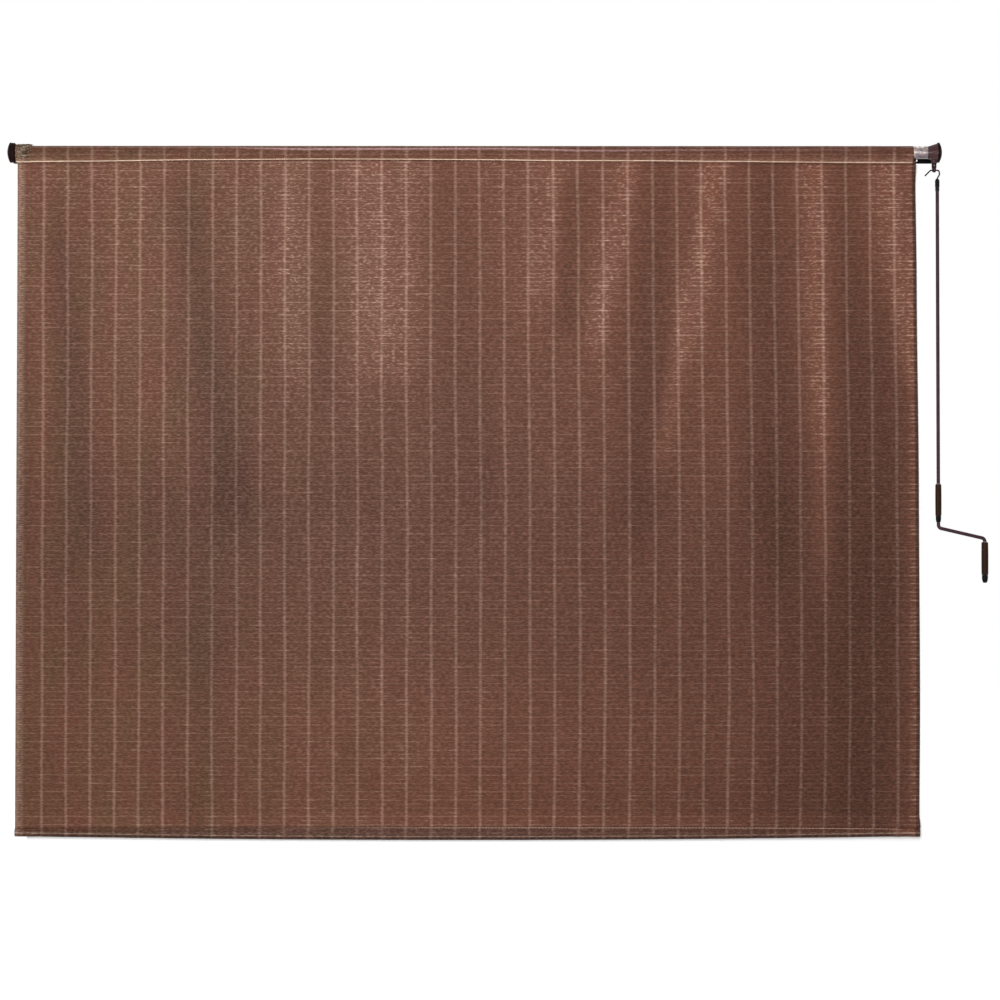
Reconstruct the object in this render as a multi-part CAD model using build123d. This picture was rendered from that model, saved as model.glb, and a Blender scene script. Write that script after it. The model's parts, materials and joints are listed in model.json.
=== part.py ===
from build123d import *
import math
import os

# Outdoor roller shade with a crank. Millimetres.
# +X runs along the roller to the crank end, -Y faces the viewer, +Z is up.
# The origin lies on the wall, level with the roller, midway between the brackets.

# Overall sizes
bracket_span = 2505.0          # outer face to outer face of the two cheeks
roller_out = 45.0              # wall to roller axis
shade_drop = 1845.0            # roller axis to the bottom of the hem
cloth_gap_idler = 11.0         # inner face of the cheek to the cloth's edge
cloth_gap_drive = 51.0

# Clearances
running_gap = 0.06             # a shaft that turns in its bush
fit_gap = 0.1                  # a screw in its hole, a plug in its tube
press_gap = 0.03               # a bush in its seat
side_gap = 0.3                 # faces that pass each other, and cloth
cut = 1.0                      # how far a cutting shape runs past the surface
edge = 0.8                     # bevel on a turned end

# Roller tube and its cloth
tube_r = 16.8
tube_wall = 1.1
tube_end_gap = 0.7             # tube's end to the cover beside it
roll_gap_drive = 67.0          # the tube is bare between the roll and the gear housing
roll_inset = 0.5               # the roll's idler end, inwards from the cloth's edge
wound_thickness = 2.9          # turns left on the tube when the shade is down
cloth_thickness = 0.6
channel_width = 8.4            # pressed-in channel that locks the cloth
channel_depth = 5.0
channel_wall = 1.0
channel_mouth = 2.8
channel_lip = 0.5

# Wall brackets
steel_thickness = 2.5
plate_length = 80.0
plate_height = 47.0
cheek_lip = 1.8                # the cheek stands this far outside the gear housing
bend_r = 4.0
corner_r = 4.0
wall_screw_inset = 52.5        # outer face of the cheek to the wall screws
wall_screw_spacing = 30.0
wall_hole_r = 3.25

# End caps
cap_lip = 0.5                  # the cap stands this far outside the cheek
cap_rim = 2.5
cap_depth = 10.0
cap_wall = 2.0
cap_pocket_r = 9.5
cap_step = 1.0                 # the mouth's wall is this much shorter than the rim
peg_r = 1.5
peg_length = 5.8
peg_inset = 5.7                # edge of the cap to the circle of its pegs

# Bevel gears
gear_module = 0.95
gear_teeth = 36
pinion_teeth = 12
face_width = 5.5
addendum = 0.76
dedendum = 1.09
tooth_thickness = 1.22
flank_angle = 20.0
gear_rim = 2.5                 # metal behind the gear's teeth
pinion_foot = 1.9              # metal below the pinion's teeth
gear_dish = 0.6                # the gear's face is dished between hub and teeth
cutter_over = 1.6              # the tooth cutter stands this many addenda above the pitch cone
cutter_inner = 1.7             # it starts this many face widths inside the large end
cutter_outer = 1.25            # and ends at this many cone reaches
gear_hub_r = 7.4
hub_front = 1.0                # the gear's hub reaches this far past the crank axis
hub_stand = 0.5                # and this far out of the cheek
square_drive = 7.6

# Gear housing
housing_length = 25.5
housing_step = 0.2             # its small end lies this far below the tube
gear_room = 5.6                # the gear's pitch circle to the inside of the wall
housing_wall = 2.2
housing_floor = 2.5
flute_count = 16
flute_width = 3.0
flute_depth = 0.9
flute_slant = 16.0             # degrees away from the housing's own slope
boss_lip = 0.2                 # the crank boss stands this far outside the pinion pocket
boss_top = -16.0
boss_floor = 6.1               # below the pinion pocket
pinion_room = 1.9              # pinion's pitch circle to the wall of its pocket
tang_slot_floor = 1.0          # thickness left at the end of the spring's slot

# Shafts and bushes
journal_r = 8.0
shaft_r = 4.0
stub_r = 2.0
stub_flat = 1.4
stub_inset = 0.6               # the stub ends this far inside the pinion
bush_wall = 1.4
bush_lip = 0.5
bush_flange = 2.7
bush_bevel = 0.9
bush_stand = 0.2               # the drive bush stands this far out of the housing
bush_rim = 0.8                 # thickness of the drive bush's flange
washer_play = 0.5              # thrust washer to the wall of the pinion pocket
washer_thickness = 1.3
idler_axle_r = 5.0
idler_axle_length = 24.0
idler_spigot_r = 4.0
idler_flange_r = 11.0
idler_flange = 7.5
idler_shoulder_r = 8.0
idler_shoulder = 1.6
axle_stand = 0.6               # the axle's end stands this far out of its nut
idler_bush_depth = 22.0

# Plugs in the tube's ends
plug_length = 40.0
plug_end_land = 4.0
plug_middle_land = 10.0
groove_length = 9.0
groove_depth = 2.0

# Brake spring
spring_wire = 1.4
spring_coils = 5
tang_rise = 2.44               # coil to the tang
spring_stand = 1.0             # housing floor to the first coil
tang_inset = 1.4               # small end of the housing to the tang's tip

# Screws, nut and washers
small_screw_r = 1.5
small_head_r = 2.9
small_head = 1.6
cover_screw_inset = 4.5        # edge of the gear housing to the circle of its screws
cover_screw_reach = 4.8
post_wall = 1.0
post_depth = 5.5
gear_screw_r = 2.5
gear_screw_reach = 20.0
gear_head_r = 4.6
gear_head = 2.5
gear_socket_r = 2.0
gear_socket_depth = 1.6
gear_screw_spare = 2.0         # the hole runs this far past the screw
gear_washer = 1.0
gear_washer_lip = 1.4          # the washer is this much wider than the hub
tube_screw_inset = 15.8
tube_screw_length = 7.0
tube_head = 1.4
nut_r = 7.5
nut_height = 4.4
nut_washer = 1.2

# Idler cover
cover_depth = 10.0
cover_wall = 2.0
cover_bevel = 3.0
cover_hole_gap = 1.4

# Bottom rail
bar_r = 9.5
bar_wall = 1.2
hem_height = 26.0
hem_overhang = 1.0             # the hem is this much longer than the panel is wide
hem_seam = 6.0                 # the two layers are joined over this height
hem_inset = 3.0
hem_plug_length = 16.0
hem_plug_inset = 0.5
hem_plug_bevel = 1.4

# Crank eye and hook
neck_r = 6.8
neck_length = 13.5
rib_count = 3
rib_pitch = 3.4
rib_depth = 0.9
eye_r = 8.2
eye_hole_r = 4.6
eye_thickness = 9.0
eye_drop = 2.3                 # end of the neck to the eye's centre
eye_bevel = 1.5
shaft_in_neck = 9.0
pin_in_neck = 5.9
pin_r = 1.25
hook_wire_r = 2.0
hook_bend_r = 5.0
hook_reach = 25.0              # crank axis to the hook's free end
hook_fall = 15.4               # how far the free end slopes down
hook_left = 9.7
hook_right = 13.3
hook_shoulder = 1.5
hook_shoulder_fall = 11.2
hook_root = 2.0                # the wire reaches this far past the rod's end

# Crank wand
wand_offset = 8.5              # crank axis to the wand, as it hangs
ferrule_below_eye = 24.7
ferrule_length = 21.6
ferrule_r = 6.05
ferrule_mouth_r = 3.6
ferrule_taper = 4.5
ferrule_lead = 1.0             # wire left bare above the ferrule's mouth
rod_stop_gap = 0.5
rod_in_ferrule = 7.6
collar_length = 12.2
collar_r = 5.5
rod_r = 4.75
rod_wall = 1.0
rod_length = 930.0             # ferrule end to the elbow
arm_reach = 124.7
arm_drop = 29.0
elbow_r = 10.0
upper_grip_r = 8.1
upper_grip_length = 85.0
upper_grip_above_elbow = 32.0
upper_stop_length = 16.0
lower_grip_r = 9.0
lower_grip_length = 88.0
lower_stop_length = 21.0
stop_step = 0.8                # a stop is this much slimmer than its grip
upper_stop_foot = 1.2          # wall left at the foot of the upper stop
lower_stop_nose = 3.6          # how far the lower stop's end narrows
lower_stop_nose_height = 6.0
lower_stop_skirt = 8.0
spindle_in_stop = 18.0
grip_bore_gap = 0.2
grip_edge = 1.2
upper_belly = 0.3
lower_belly = 0.4
ring_r = 6.6
ring_thickness = 1.2

# Places worked out from the sizes
axis_y = -roller_out
cheek_out = bracket_span / 2
cheek_in = cheek_out - steel_thickness
gear_r = gear_module * gear_teeth / 2
pinion_r = gear_module * pinion_teeth / 2
cone_reach = math.hypot(gear_r, pinion_r)
gear_back = pinion_r + gear_rim
pinion_back = gear_r + pinion_foot
crank_x = cheek_in - gear_back - side_gap
housing_left = cheek_in - housing_length
housing_small_r = tube_r - housing_step
housing_large_r = gear_r + gear_room + housing_wall
cheek_r = housing_large_r + cheek_lip
cap_r = cheek_r + cap_lip
peg_circle = cap_r - peg_inset
cover_screw_circle = housing_large_r - cover_screw_inset
tube_right = housing_left - tube_end_gap
cover_face = cheek_in - cover_depth
tube_left = -(cover_face - tube_end_gap)
tube_bore = tube_r - tube_wall
tube_screw_x = tube_right - tube_screw_inset
panel_left = -(cheek_in - cloth_gap_idler)
panel_right = cheek_in - cloth_gap_drive
roll_left = panel_left + roll_inset
roll_right = cheek_in - roll_gap_drive
roll_inner_r = tube_r + side_gap
roll_r = roll_inner_r + wound_thickness
panel_y = axis_y + roll_r + side_gap + cloth_thickness / 2
hem_right = panel_right + hem_overhang
hem_outer_r = bar_r + side_gap + cloth_thickness
rail_z = -shade_drop + hem_outer_r
hem_top = -shade_drop + hem_height
pinion_pocket_r = pinion_r + pinion_room
pinion_pocket_floor = -(pinion_back + fit_gap + washer_thickness)
boss_r = pinion_pocket_r + boss_lip
boss_bottom = pinion_pocket_floor - boss_floor
shaft_bore_r = shaft_r + running_gap + bush_wall
journal_bore_r = journal_r + running_gap + bush_wall
tang_reach = journal_r + running_gap + spring_wire + tang_rise
neck_top = boss_bottom - bush_flange - side_gap
neck_bottom = neck_top - neck_length
shaft_bottom = neck_top - shaft_in_neck
pin_z = neck_top - pin_in_neck
eye_centre = neck_bottom - eye_drop
wand_x = crank_x + wand_offset
ferrule_top = eye_centre - ferrule_below_eye
ferrule_bottom = ferrule_top - ferrule_length
rod_top = ferrule_bottom + rod_in_ferrule
collar_bottom = ferrule_bottom - collar_length
elbow_z = rod_top - rod_length
handle_x = wand_x + arm_reach
upper_grip_bottom = elbow_z + upper_grip_above_elbow
upper_grip_top = upper_grip_bottom + upper_grip_length
lower_grip_top = elbow_z - arm_drop - elbow_r
lower_grip_bottom = lower_grip_top - lower_grip_length
spindle_bottom = lower_grip_bottom - spindle_in_stop
roller_axis = Axis((0, axis_y, 0), (1, 0, 0))
crank_axis = Axis((crank_x, axis_y, 0), (0, 0, 1))


def rod_x(x0, x1, radius, y=0.0, z=0.0):
    """Round bar along X, placed from the roller axis."""
    spot = Pos((x0 + x1) / 2, axis_y + y, z) * Rot(0, 90, 0)
    return spot * Cylinder(radius, abs(x1 - x0))


def rod_y(x, z, radius, length, y=0.0):
    """Round bar along Y, centred at a distance from the roller axis."""
    return Pos(x, axis_y + y, z) * Rot(90, 0, 0) * Cylinder(radius, length)


def rod_z(z0, z1, radius, x):
    """Round upright bar in the roller's plane."""
    return Pos(x, axis_y, (z0 + z1) / 2) * Cylinder(radius, abs(z1 - z0))


def block(x0, x1, y0, y1, z0, z1):
    """Box between two corners, with Y measured from the roller axis."""
    centre = Pos((x0 + x1) / 2, axis_y + (y0 + y1) / 2, (z0 + z1) / 2)
    return centre * Box(abs(x1 - x0), abs(y1 - y0), abs(z1 - z0))


def turned_x(outline):
    """Revolve (x, radius) points around the roller axis."""
    points = [(x, axis_y, r) for x, r in outline]
    return revolve(make_face(Polyline(*points, close=True)), roller_axis, 360)


def turned_z(outline, x):
    """Revolve (radius, z) points around an upright axis."""
    points = [(x + r, axis_y, z) for r, z in outline]
    axis = Axis((x, axis_y, 0), (0, 0, 1))
    return revolve(make_face(Polyline(*points, close=True)), axis, 360)


def ring_of(shape, count, start=0.0):
    """Copies of a shape spaced evenly around the roller axis."""
    return [shape.rotate(roller_axis, start + 360 * i / count) for i in range(count)]


def end_cap():
    """Hollow domed cap with three pegs that press into the cheek."""
    rise = cap_depth - cap_rim
    ball_r = (cap_r * cap_r + rise * rise) / (2 * rise)
    ball = Pos(cheek_out + cap_depth - ball_r, axis_y, 0) * Sphere(ball_r)
    mouth_r = cap_r - cap_wall
    floor = cheek_out + cap_depth - cap_wall
    cap = ball & rod_x(cheek_out, cheek_out + cap_depth, cap_r)
    cap -= turned_x([
        (cheek_out - cut, 0), (cheek_out - cut, mouth_r), (cheek_out + cap_rim - cap_step, mouth_r),
        (floor, cap_pocket_r), (floor, 0),
    ])
    tip = cheek_in + steel_thickness / 5
    peg = rod_x(tip, tip + peg_length, peg_r, z=peg_circle)
    for copy in ring_of(peg, 3, 180.0):
        cap += copy
    return cap


def bracket(centre_hole_r):
    """Folded steel: a plate on the wall and a round cheek that carries the roller."""
    inner_end = cheek_out - plate_length
    fold = Polyline(
        (inner_end, 0),
        (cheek_out, 0),
        (cheek_out, axis_y),
        (cheek_in, axis_y),
        (cheek_in, -steel_thickness),
        (inner_end, -steel_thickness),
        close=True,
    )
    section = make_face(fold)
    outside = section.vertices().sort_by_distance((cheek_out, 0, 0))[0]
    section = fillet(outside, bend_r)
    inside = section.vertices().sort_by_distance((cheek_in, -steel_thickness, 0))[0]
    section = fillet(inside, bend_r - steel_thickness)
    body = Pos(0, 0, -plate_height / 2) * extrude(section, plate_height, dir=(0, 0, 1))
    ends = body.edges().filter_by(Axis.Y).group_by(Axis.X)[0]
    body = fillet(ends, corner_r)
    body += rod_x(cheek_in, cheek_out, cheek_r)
    body -= rod_x(cheek_in - cut, cheek_out + cut, centre_hole_r)
    peg_hole = rod_x(cheek_in - cut, cheek_out + cut, peg_r + fit_gap, z=peg_circle)
    screw_hole = rod_x(cheek_in - cut, cheek_out + cut, small_screw_r + fit_gap, z=cover_screw_circle)
    for hole in ring_of(peg_hole, 3, 180.0) + ring_of(screw_hole, 3):
        body -= hole
    for z in (-wall_screw_spacing / 2, wall_screw_spacing / 2):
        body -= rod_y(cheek_out - wall_screw_inset, z, wall_hole_r, steel_thickness * 3, y=roller_out)
    return body


def screw_posts(depth):
    """Three screw posts that run along X from the cheek into a cover, and their holes."""
    bore = small_screw_r + fit_gap
    post = rod_x(cheek_in - depth, cheek_in, bore + post_wall, z=cover_screw_circle)
    hole = rod_x(cheek_in - cover_screw_reach - fit_gap, cheek_in + cut, bore, z=cover_screw_circle)
    return ring_of(post, 3), ring_of(hole, 3)


def cover_screws():
    """Three screws that hold a cover against the inside of a cheek."""
    shank = rod_x(cheek_in - cover_screw_reach, cheek_out, small_screw_r, z=cover_screw_circle)
    head = rod_x(cheek_out, cheek_out + small_head, small_head_r, z=cover_screw_circle)
    return ring_of(shank + head, 3)


def housing_radius(x):
    """Outer radius of the gear housing at a place along its slope."""
    share = (x - housing_left) / housing_length
    return housing_small_r + (housing_large_r - housing_small_r) * share


def gear_housing():
    """Moulded bell with slanted flutes, a bearing wall and a boss for the crank shaft."""
    floor = housing_left + housing_floor
    mouth = cheek_in + cut
    bell = turned_x([
        (housing_left, 0), (housing_left, housing_small_r),
        (cheek_in, housing_large_r), (cheek_in, 0),
    ])
    hollow = turned_x([
        (floor, 0), (floor, housing_radius(floor) - housing_wall),
        (mouth, housing_radius(mouth) - housing_wall), (mouth, 0),
    ])
    middle = (housing_left + cheek_in) / 2
    slope = math.degrees(math.atan2(housing_large_r - housing_small_r, housing_length))
    groove = Rot(45, 0, 0) * Box(housing_length * 2, flute_width, flute_width)
    lift = flute_width / math.sqrt(2) - flute_depth
    cutter = Rot(0, -slope, 0) * (Pos(0, 0, lift) * (Rot(0, 0, flute_slant) * groove))
    cutter = Pos(middle, axis_y, housing_radius(middle)) * cutter
    bell -= ring_of(cutter, flute_count, 180.0 / flute_count)
    bell += rod_z(boss_top, boss_bottom, boss_r, crank_x)
    bell -= hollow
    posts, holes = screw_posts(post_depth)
    for post in posts:
        bell += post
    for hole in holes:
        bell -= hole
    bell -= rod_z(0.0, pinion_pocket_floor, pinion_pocket_r, crank_x)
    bell -= rod_z(0.0, boss_bottom - cut, shaft_bore_r, crank_x)
    bell -= rod_x(housing_left - cut, floor + cut, journal_bore_r)
    half = spring_wire / 2 + fit_gap
    low, high = tang_reach - half, tang_reach + half
    return bell - block(housing_left + tang_slot_floor, floor + cut, -half, half, low, high)


def idler_cover():
    """Shallow cup between the idler cheek and the roll, made on the +X side and mirrored."""
    hole_r = idler_flange_r + cover_hole_gap
    outer_r = cheek_r - side_gap
    inner_r = outer_r - cover_wall
    cup = turned_x([
        (cover_face, hole_r), (cover_face, outer_r - cover_bevel), (cover_face + cover_bevel, outer_r),
        (cheek_in, outer_r), (cheek_in, inner_r), (cover_face + cover_bevel, inner_r),
        (cover_face + cover_wall, hole_r),
    ])
    posts, holes = screw_posts(cover_depth - cover_wall / 2)
    for post in posts:
        cup += post
    for hole in holes:
        cup -= hole
    return cup


def tooth_space(teeth, pitch_cone, axis, radial, side):
    """One straight tapered gap of a bevel gear, whose flanks all meet at the cone's tip."""
    over = addendum * cutter_over
    sides = (
        (pitch_cone - math.atan(dedendum / cone_reach), -dedendum),
        (pitch_cone + math.atan(over / cone_reach), over),
    )
    corners = []
    for angle, height in sides:
        thickness = tooth_thickness - 2 * height * math.tan(math.radians(flank_angle))
        half = math.pi / teeth - thickness / 2 / (cone_reach * math.sin(angle))
        for sign in (-1, 1):
            across = radial * math.cos(half) + side * (sign * math.sin(half))
            corners.append(axis * math.cos(angle) + across * math.sin(angle))
    tip = Vector(crank_x, axis_y, 0)
    ends = []
    for reach in (cone_reach - face_width * cutter_inner, cone_reach * cutter_outer):
        outline = [tip + corners[i] * reach for i in (0, 1, 3, 2)]
        ends.append(Wire.make_polygon(outline, close=True))
    return Solid.make_loft(ends, ruled=True)


def cone_point(angle, reach):
    """Distance along a gear's axis and out from it, for a point on a cone."""
    return reach * math.cos(angle), reach * math.sin(angle)


def tooth_band(pitch_cone):
    """The four corners of the band that holds the teeth: small, large, foot and toe."""
    tip = pitch_cone + math.atan(addendum / cone_reach)
    root = pitch_cone - math.atan(dedendum / cone_reach)
    inner = cone_reach - face_width
    return (cone_point(tip, inner), cone_point(tip, cone_reach),
            cone_point(root, cone_reach), cone_point(root, inner))


def drive_gear():
    """Bevel gear on the roller's end, with a square bore and a hub that runs in the cheek."""
    pitch_cone = math.atan2(gear_teeth, pinion_teeth)
    small, large, foot, toe = tooth_band(pitch_cone)
    hub_end = cheek_out + hub_stand
    blank = turned_x([
        (crank_x + small[0], small[1]),
        (crank_x + large[0], large[1]),
        (crank_x + foot[0], foot[1]),
        (crank_x + gear_back, foot[1]),
        (crank_x + gear_back, gear_hub_r),
        (hub_end, gear_hub_r),
        (hub_end, 0),
        (crank_x - hub_front, 0),
        (crank_x - hub_front, gear_hub_r),
        (crank_x + toe[0], gear_hub_r),
        (crank_x + toe[0], toe[1] - gear_dish),
    ])
    space = tooth_space(gear_teeth, pitch_cone, Vector(1, 0, 0), Vector(0, 0, -1), Vector(0, 1, 0))
    space = space.rotate(roller_axis, 180.0 / gear_teeth)
    blank -= ring_of(space, gear_teeth)
    half = square_drive / 2 + fit_gap / 2
    return blank - block(crank_x - hub_front - cut, hub_end + cut, -half, half, -half, half)


def flat_on_stub(gap):
    """What the flat takes off the stub, or leaves in the pinion's bore."""
    return block(crank_x - shaft_r, crank_x + shaft_r, stub_flat + gap, shaft_r * 2, -pinion_back, 0)


def pinion():
    """Bevel pinion on the stub of the crank shaft, in mesh below the gear."""
    pitch_cone = math.atan2(pinion_teeth, gear_teeth)
    small, large, foot, toe = tooth_band(pitch_cone)
    blank = turned_z([
        (0, -small[0]), (small[1], -small[0]), (large[1], -large[0]),
        (foot[1], -foot[0]), (foot[1], -pinion_back), (0, -pinion_back),
    ], crank_x)
    space = tooth_space(pinion_teeth, pitch_cone, Vector(0, 0, -1), Vector(1, 0, 0), Vector(0, 1, 0))
    blank -= [space.rotate(crank_axis, 360 * i / pinion_teeth) for i in range(pinion_teeth)]
    bore = rod_z(0, -pinion_back, stub_r + fit_gap / 2, crank_x)
    return blank - (bore - flat_on_stub(fit_gap / 2))


def pin_hole():
    """Cross hole for the pin that joins the eye to the shaft."""
    return rod_y(crank_x, pin_z, pin_r + fit_gap / 2, neck_r * 4)


def crank_shaft():
    """Steel shaft with a flatted stub for the pinion and a cross hole for the eye's pin."""
    shoulder = -pinion_back - fit_gap / 2
    shaft = rod_z(shoulder, shaft_bottom, shaft_r, crank_x)
    stub = rod_z(-(gear_r - face_width + stub_inset), shoulder, stub_r, crank_x)
    return shaft + (stub - flat_on_stub(0)) - pin_hole()


def input_bush():
    """Flanged bush pushed up into the housing's boss."""
    bore = shaft_r + running_gap
    outer = shaft_bore_r - press_gap
    top = pinion_pocket_floor - side_gap
    low = boss_bottom - bush_flange
    return turned_z([
        (bore, top), (outer, top), (outer, boss_bottom), (boss_r + bush_lip, boss_bottom),
        (boss_r + bush_lip, low + bush_bevel), (boss_r + bush_lip - bush_bevel, low), (bore, low),
    ], crank_x)


def thrust_washer():
    """Washer under the pinion, which takes the weight of the wand."""
    top = pinion_pocket_floor + washer_thickness
    ring = rod_z(pinion_pocket_floor, top, pinion_pocket_r - washer_play, crank_x)
    return ring - rod_z(pinion_pocket_floor - cut, top + cut, shaft_r + fit_gap, crank_x)


def crank_eye():
    """Ribbed neck and eye, which the wand's hook hangs in."""
    outline = [(0, neck_top), (neck_r - edge, neck_top), (neck_r, neck_top - edge)]
    for i in range(rib_count):
        low = neck_top - rib_pitch * (i + 1) + rib_depth
        outline += [(neck_r, low), (neck_r - rib_depth, low - rib_depth), (neck_r, low - rib_depth * 2)]
    neck = turned_z(outline + [(neck_r, neck_bottom), (0, neck_bottom)], crank_x)
    ring = rod_x(crank_x - eye_thickness / 2, crank_x + eye_thickness / 2, eye_r, z=eye_centre)
    eye = neck + chamfer(ring.edges().filter_by(GeomType.CIRCLE), eye_bevel)
    eye -= rod_x(crank_x - eye_r, crank_x + eye_r, eye_hole_r, z=eye_centre)
    eye -= rod_z(0, shaft_bottom - side_gap, shaft_r + fit_gap / 2, crank_x)
    return eye - pin_hole()


def eye_pin():
    """Cross pin through the eye's neck and the shaft."""
    return rod_y(crank_x, pin_z, pin_r, 2 * (neck_r - rib_depth + fit_gap))


def plug_core(right):
    """Grooved plug that fills one end of the tube."""
    plug = rod_x(right - plug_length, right, tube_bore - fit_gap)
    start = right - plug_end_land - groove_length
    for x in (start, start - plug_middle_land - groove_length):
        ring = rod_x(x, x + groove_length, tube_bore + cut)
        plug -= ring - rod_x(x - cut, x + groove_length + cut, tube_bore - groove_depth)
    half = channel_width / 2 + side_gap
    inner = tube_bore - channel_depth - side_gap
    return plug - block(right - plug_length - cut, right, inner, tube_r + cut, -half, half)


def drive_plug():
    """Plug in the drive end, with the journal and the square that turns with the gear."""
    shoulder = crank_x - hub_front - side_gap
    plug = plug_core(tube_right) + rod_x(tube_right, shoulder, journal_r)
    half = square_drive / 2
    plug += block(shoulder, cheek_out, -half, half, -half, half)
    hole_end = cheek_in - gear_screw_reach - gear_screw_spare
    plug -= rod_x(hole_end, cheek_out + cut, gear_screw_r + fit_gap / 2)
    return plug - rod_y(tube_screw_x, 0, small_screw_r + fit_gap, 4 * tube_r)


def idler_plug():
    """Plug in the idler end, made on the +X side and mirrored."""
    right = -tube_left
    plug = plug_core(right) + rod_x(right, right + idler_flange, idler_flange_r)
    bore = idler_axle_r + running_gap + bush_wall
    return plug - rod_x(right - plug_length - cut, right + idler_flange + cut, bore)


def roller_tube():
    """Drawn tube with a channel pressed into its wall along the whole length."""
    start, end = tube_left - cut, tube_right + cut
    tube = rod_x(tube_left, tube_right, tube_r) - rod_x(start, end, tube_bore)
    half = channel_width / 2
    inner = tube_bore - channel_depth
    tube += block(tube_left, tube_right, inner, tube_bore + tube_wall / 4, -half, half)
    pocket = half - channel_wall
    tube -= block(start, end, inner + channel_wall, tube_bore - channel_lip, -pocket, pocket)
    mouth = channel_mouth / 2
    tube -= block(start, end, tube_bore - channel_lip * 2, tube_r + cut, -mouth, mouth)
    return tube - rod_y(tube_screw_x, 0, small_screw_r + fit_gap, tube_r, y=-tube_r)


def tube_screw():
    """Screw through the tube's wall into the drive plug."""
    shank = rod_y(tube_screw_x, 0, small_screw_r, tube_screw_length, y=tube_screw_length / 2 - tube_r)
    head = rod_y(tube_screw_x, 0, small_head_r, tube_head, y=-tube_r - tube_head / 2)
    rim = head.edges().filter_by(GeomType.CIRCLE).sort_by(Axis.Y)[0]
    return shank + chamfer(rim, tube_head / 2)


def fabric_spline():
    """Strip in the tube's channel that locks the cloth's edge."""
    half = channel_width / 2 - channel_wall - fit_gap
    inner = tube_bore - channel_depth + channel_wall + fit_gap
    return block(roll_left, roll_right, inner, tube_bore - channel_lip - fit_gap, -half, half)


def fabric_roll():
    """The turns of cloth that stay on the tube."""
    return rod_x(roll_left, roll_right, roll_r) - rod_x(roll_left - cut, roll_right + cut, roll_inner_r)


def drive_bush():
    """Flanged bush between the housing's wall and the plug's journal."""
    bore = journal_r + running_gap
    outer = journal_bore_r - press_gap
    wall = housing_left + housing_floor
    return turned_x([
        (housing_left - bush_stand, bore), (housing_left - bush_stand, outer), (wall, outer),
        (wall, outer + bush_wall), (wall + bush_rim, outer + bush_wall), (wall + bush_rim, bore),
    ])


def brake_spring():
    """Close-wound spring that drags on the journal, with a tang in the housing's wall."""
    wire = spring_wire / 2
    start = housing_left + housing_floor + spring_stand
    end = start + spring_coils * spring_wire
    inner = journal_r + running_gap
    outline = [(start, inner)]
    for i in range(spring_coils):
        left = start + i * spring_wire
        outline += [(left, inner + wire), (left + wire, inner + spring_wire)]
    coil = turned_x(outline + [(end, inner + wire), (end, inner)])
    leg = block(start, start + spring_wire, -wire, wire, inner + wire, tang_reach + wire)
    tang = block(housing_left + tang_inset, start + wire, -wire, wire, tang_reach - wire, tang_reach + wire)
    return coil + leg + tang


def gear_washer_ring():
    """Washer between the gear's hub and its screw."""
    left = cheek_out + hub_stand + fit_gap
    ring = rod_x(left, left + gear_washer, gear_hub_r + gear_washer_lip)
    return ring - rod_x(left - cut, left + gear_washer + cut, gear_screw_r + fit_gap)


def gear_screw():
    """Screw that draws the gear onto the plug's square end."""
    left = cheek_out + hub_stand + fit_gap + gear_washer + fit_gap
    right = left + gear_head
    face = Plane((right, axis_y, 0), z_dir=(-1, 0, 0))
    socket = extrude(face * RegularPolygon(gear_socket_r, 6), gear_socket_depth)
    shank = rod_x(cheek_in - gear_screw_reach, left, gear_screw_r)
    return shank + rod_x(left, right, gear_head_r) - socket


def idler_bush():
    """Long bush in the idler plug."""
    right = -tube_left
    end = right + idler_flange
    outer = idler_axle_r + running_gap + bush_wall - press_gap
    sleeve = rod_x(right - idler_bush_depth, end, outer)
    return sleeve - rod_x(right - idler_bush_depth - cut, end + cut, idler_axle_r + running_gap)


def idler_axle():
    """Shouldered axle fixed in the idler cheek."""
    tip = -tube_left - idler_axle_length
    shoulder = cheek_in - idler_shoulder
    end = cheek_out + nut_washer + nut_height + axle_stand
    return turned_x([
        (tip, 0), (tip, idler_axle_r - edge), (tip + edge, idler_axle_r), (shoulder, idler_axle_r),
        (shoulder, idler_shoulder_r), (cheek_in, idler_shoulder_r), (cheek_in, idler_spigot_r),
        (end, idler_spigot_r), (end, 0),
    ])


def idler_washer():
    """Washer under the idler axle's nut."""
    ring = rod_x(cheek_out, cheek_out + nut_washer, idler_shoulder_r)
    return ring - rod_x(cheek_out - cut, cheek_out + nut_washer + cut, idler_spigot_r + fit_gap)


def idler_nut():
    """Hexagon nut outside the idler cheek."""
    left = cheek_out + nut_washer
    hexagon = Plane((left, axis_y, 0), z_dir=(1, 0, 0)) * RegularPolygon(nut_r, 6)
    bore = rod_x(left - cut, left + nut_height + cut, idler_spigot_r + fit_gap / 2)
    return extrude(hexagon, nut_height) - bore


def fabric_panel():
    """The hanging cloth, from the back of the roll to the hem."""
    height = -(hem_top + side_gap)
    centre = Pos((panel_left + panel_right) / 2, panel_y, -height / 2)
    return centre * Box(panel_right - panel_left, cloth_thickness, height)


def hem_loop(bulge_r, peak_r, peak_z):
    """Teardrop section of the hem, as a face across the rail."""
    plane = Plane((panel_left, panel_y, 0), x_dir=(0, 1, 0), z_dir=(1, 0, 0))
    bulge = Pos(0, rail_z) * Circle(bulge_r)
    peak = Pos(0, peak_z - peak_r) * Circle(peak_r)
    return plane * make_hull(bulge.edges() + peak.edges())


def hem_pocket():
    """Sewn loop of cloth that holds the bar."""
    length = hem_right - panel_left
    outer = extrude(hem_loop(hem_outer_r, cloth_thickness, hem_top), length)
    inside = hem_loop(hem_outer_r - cloth_thickness, cloth_thickness / 3, hem_top - hem_seam)
    return outer - extrude(inside, length)


def rail_round(x0, x1, radius):
    """Round bar along the bottom rail."""
    return Pos((x0 + x1) / 2, panel_y, rail_z) * Rot(0, 90, 0) * Cylinder(radius, x1 - x0)


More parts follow.
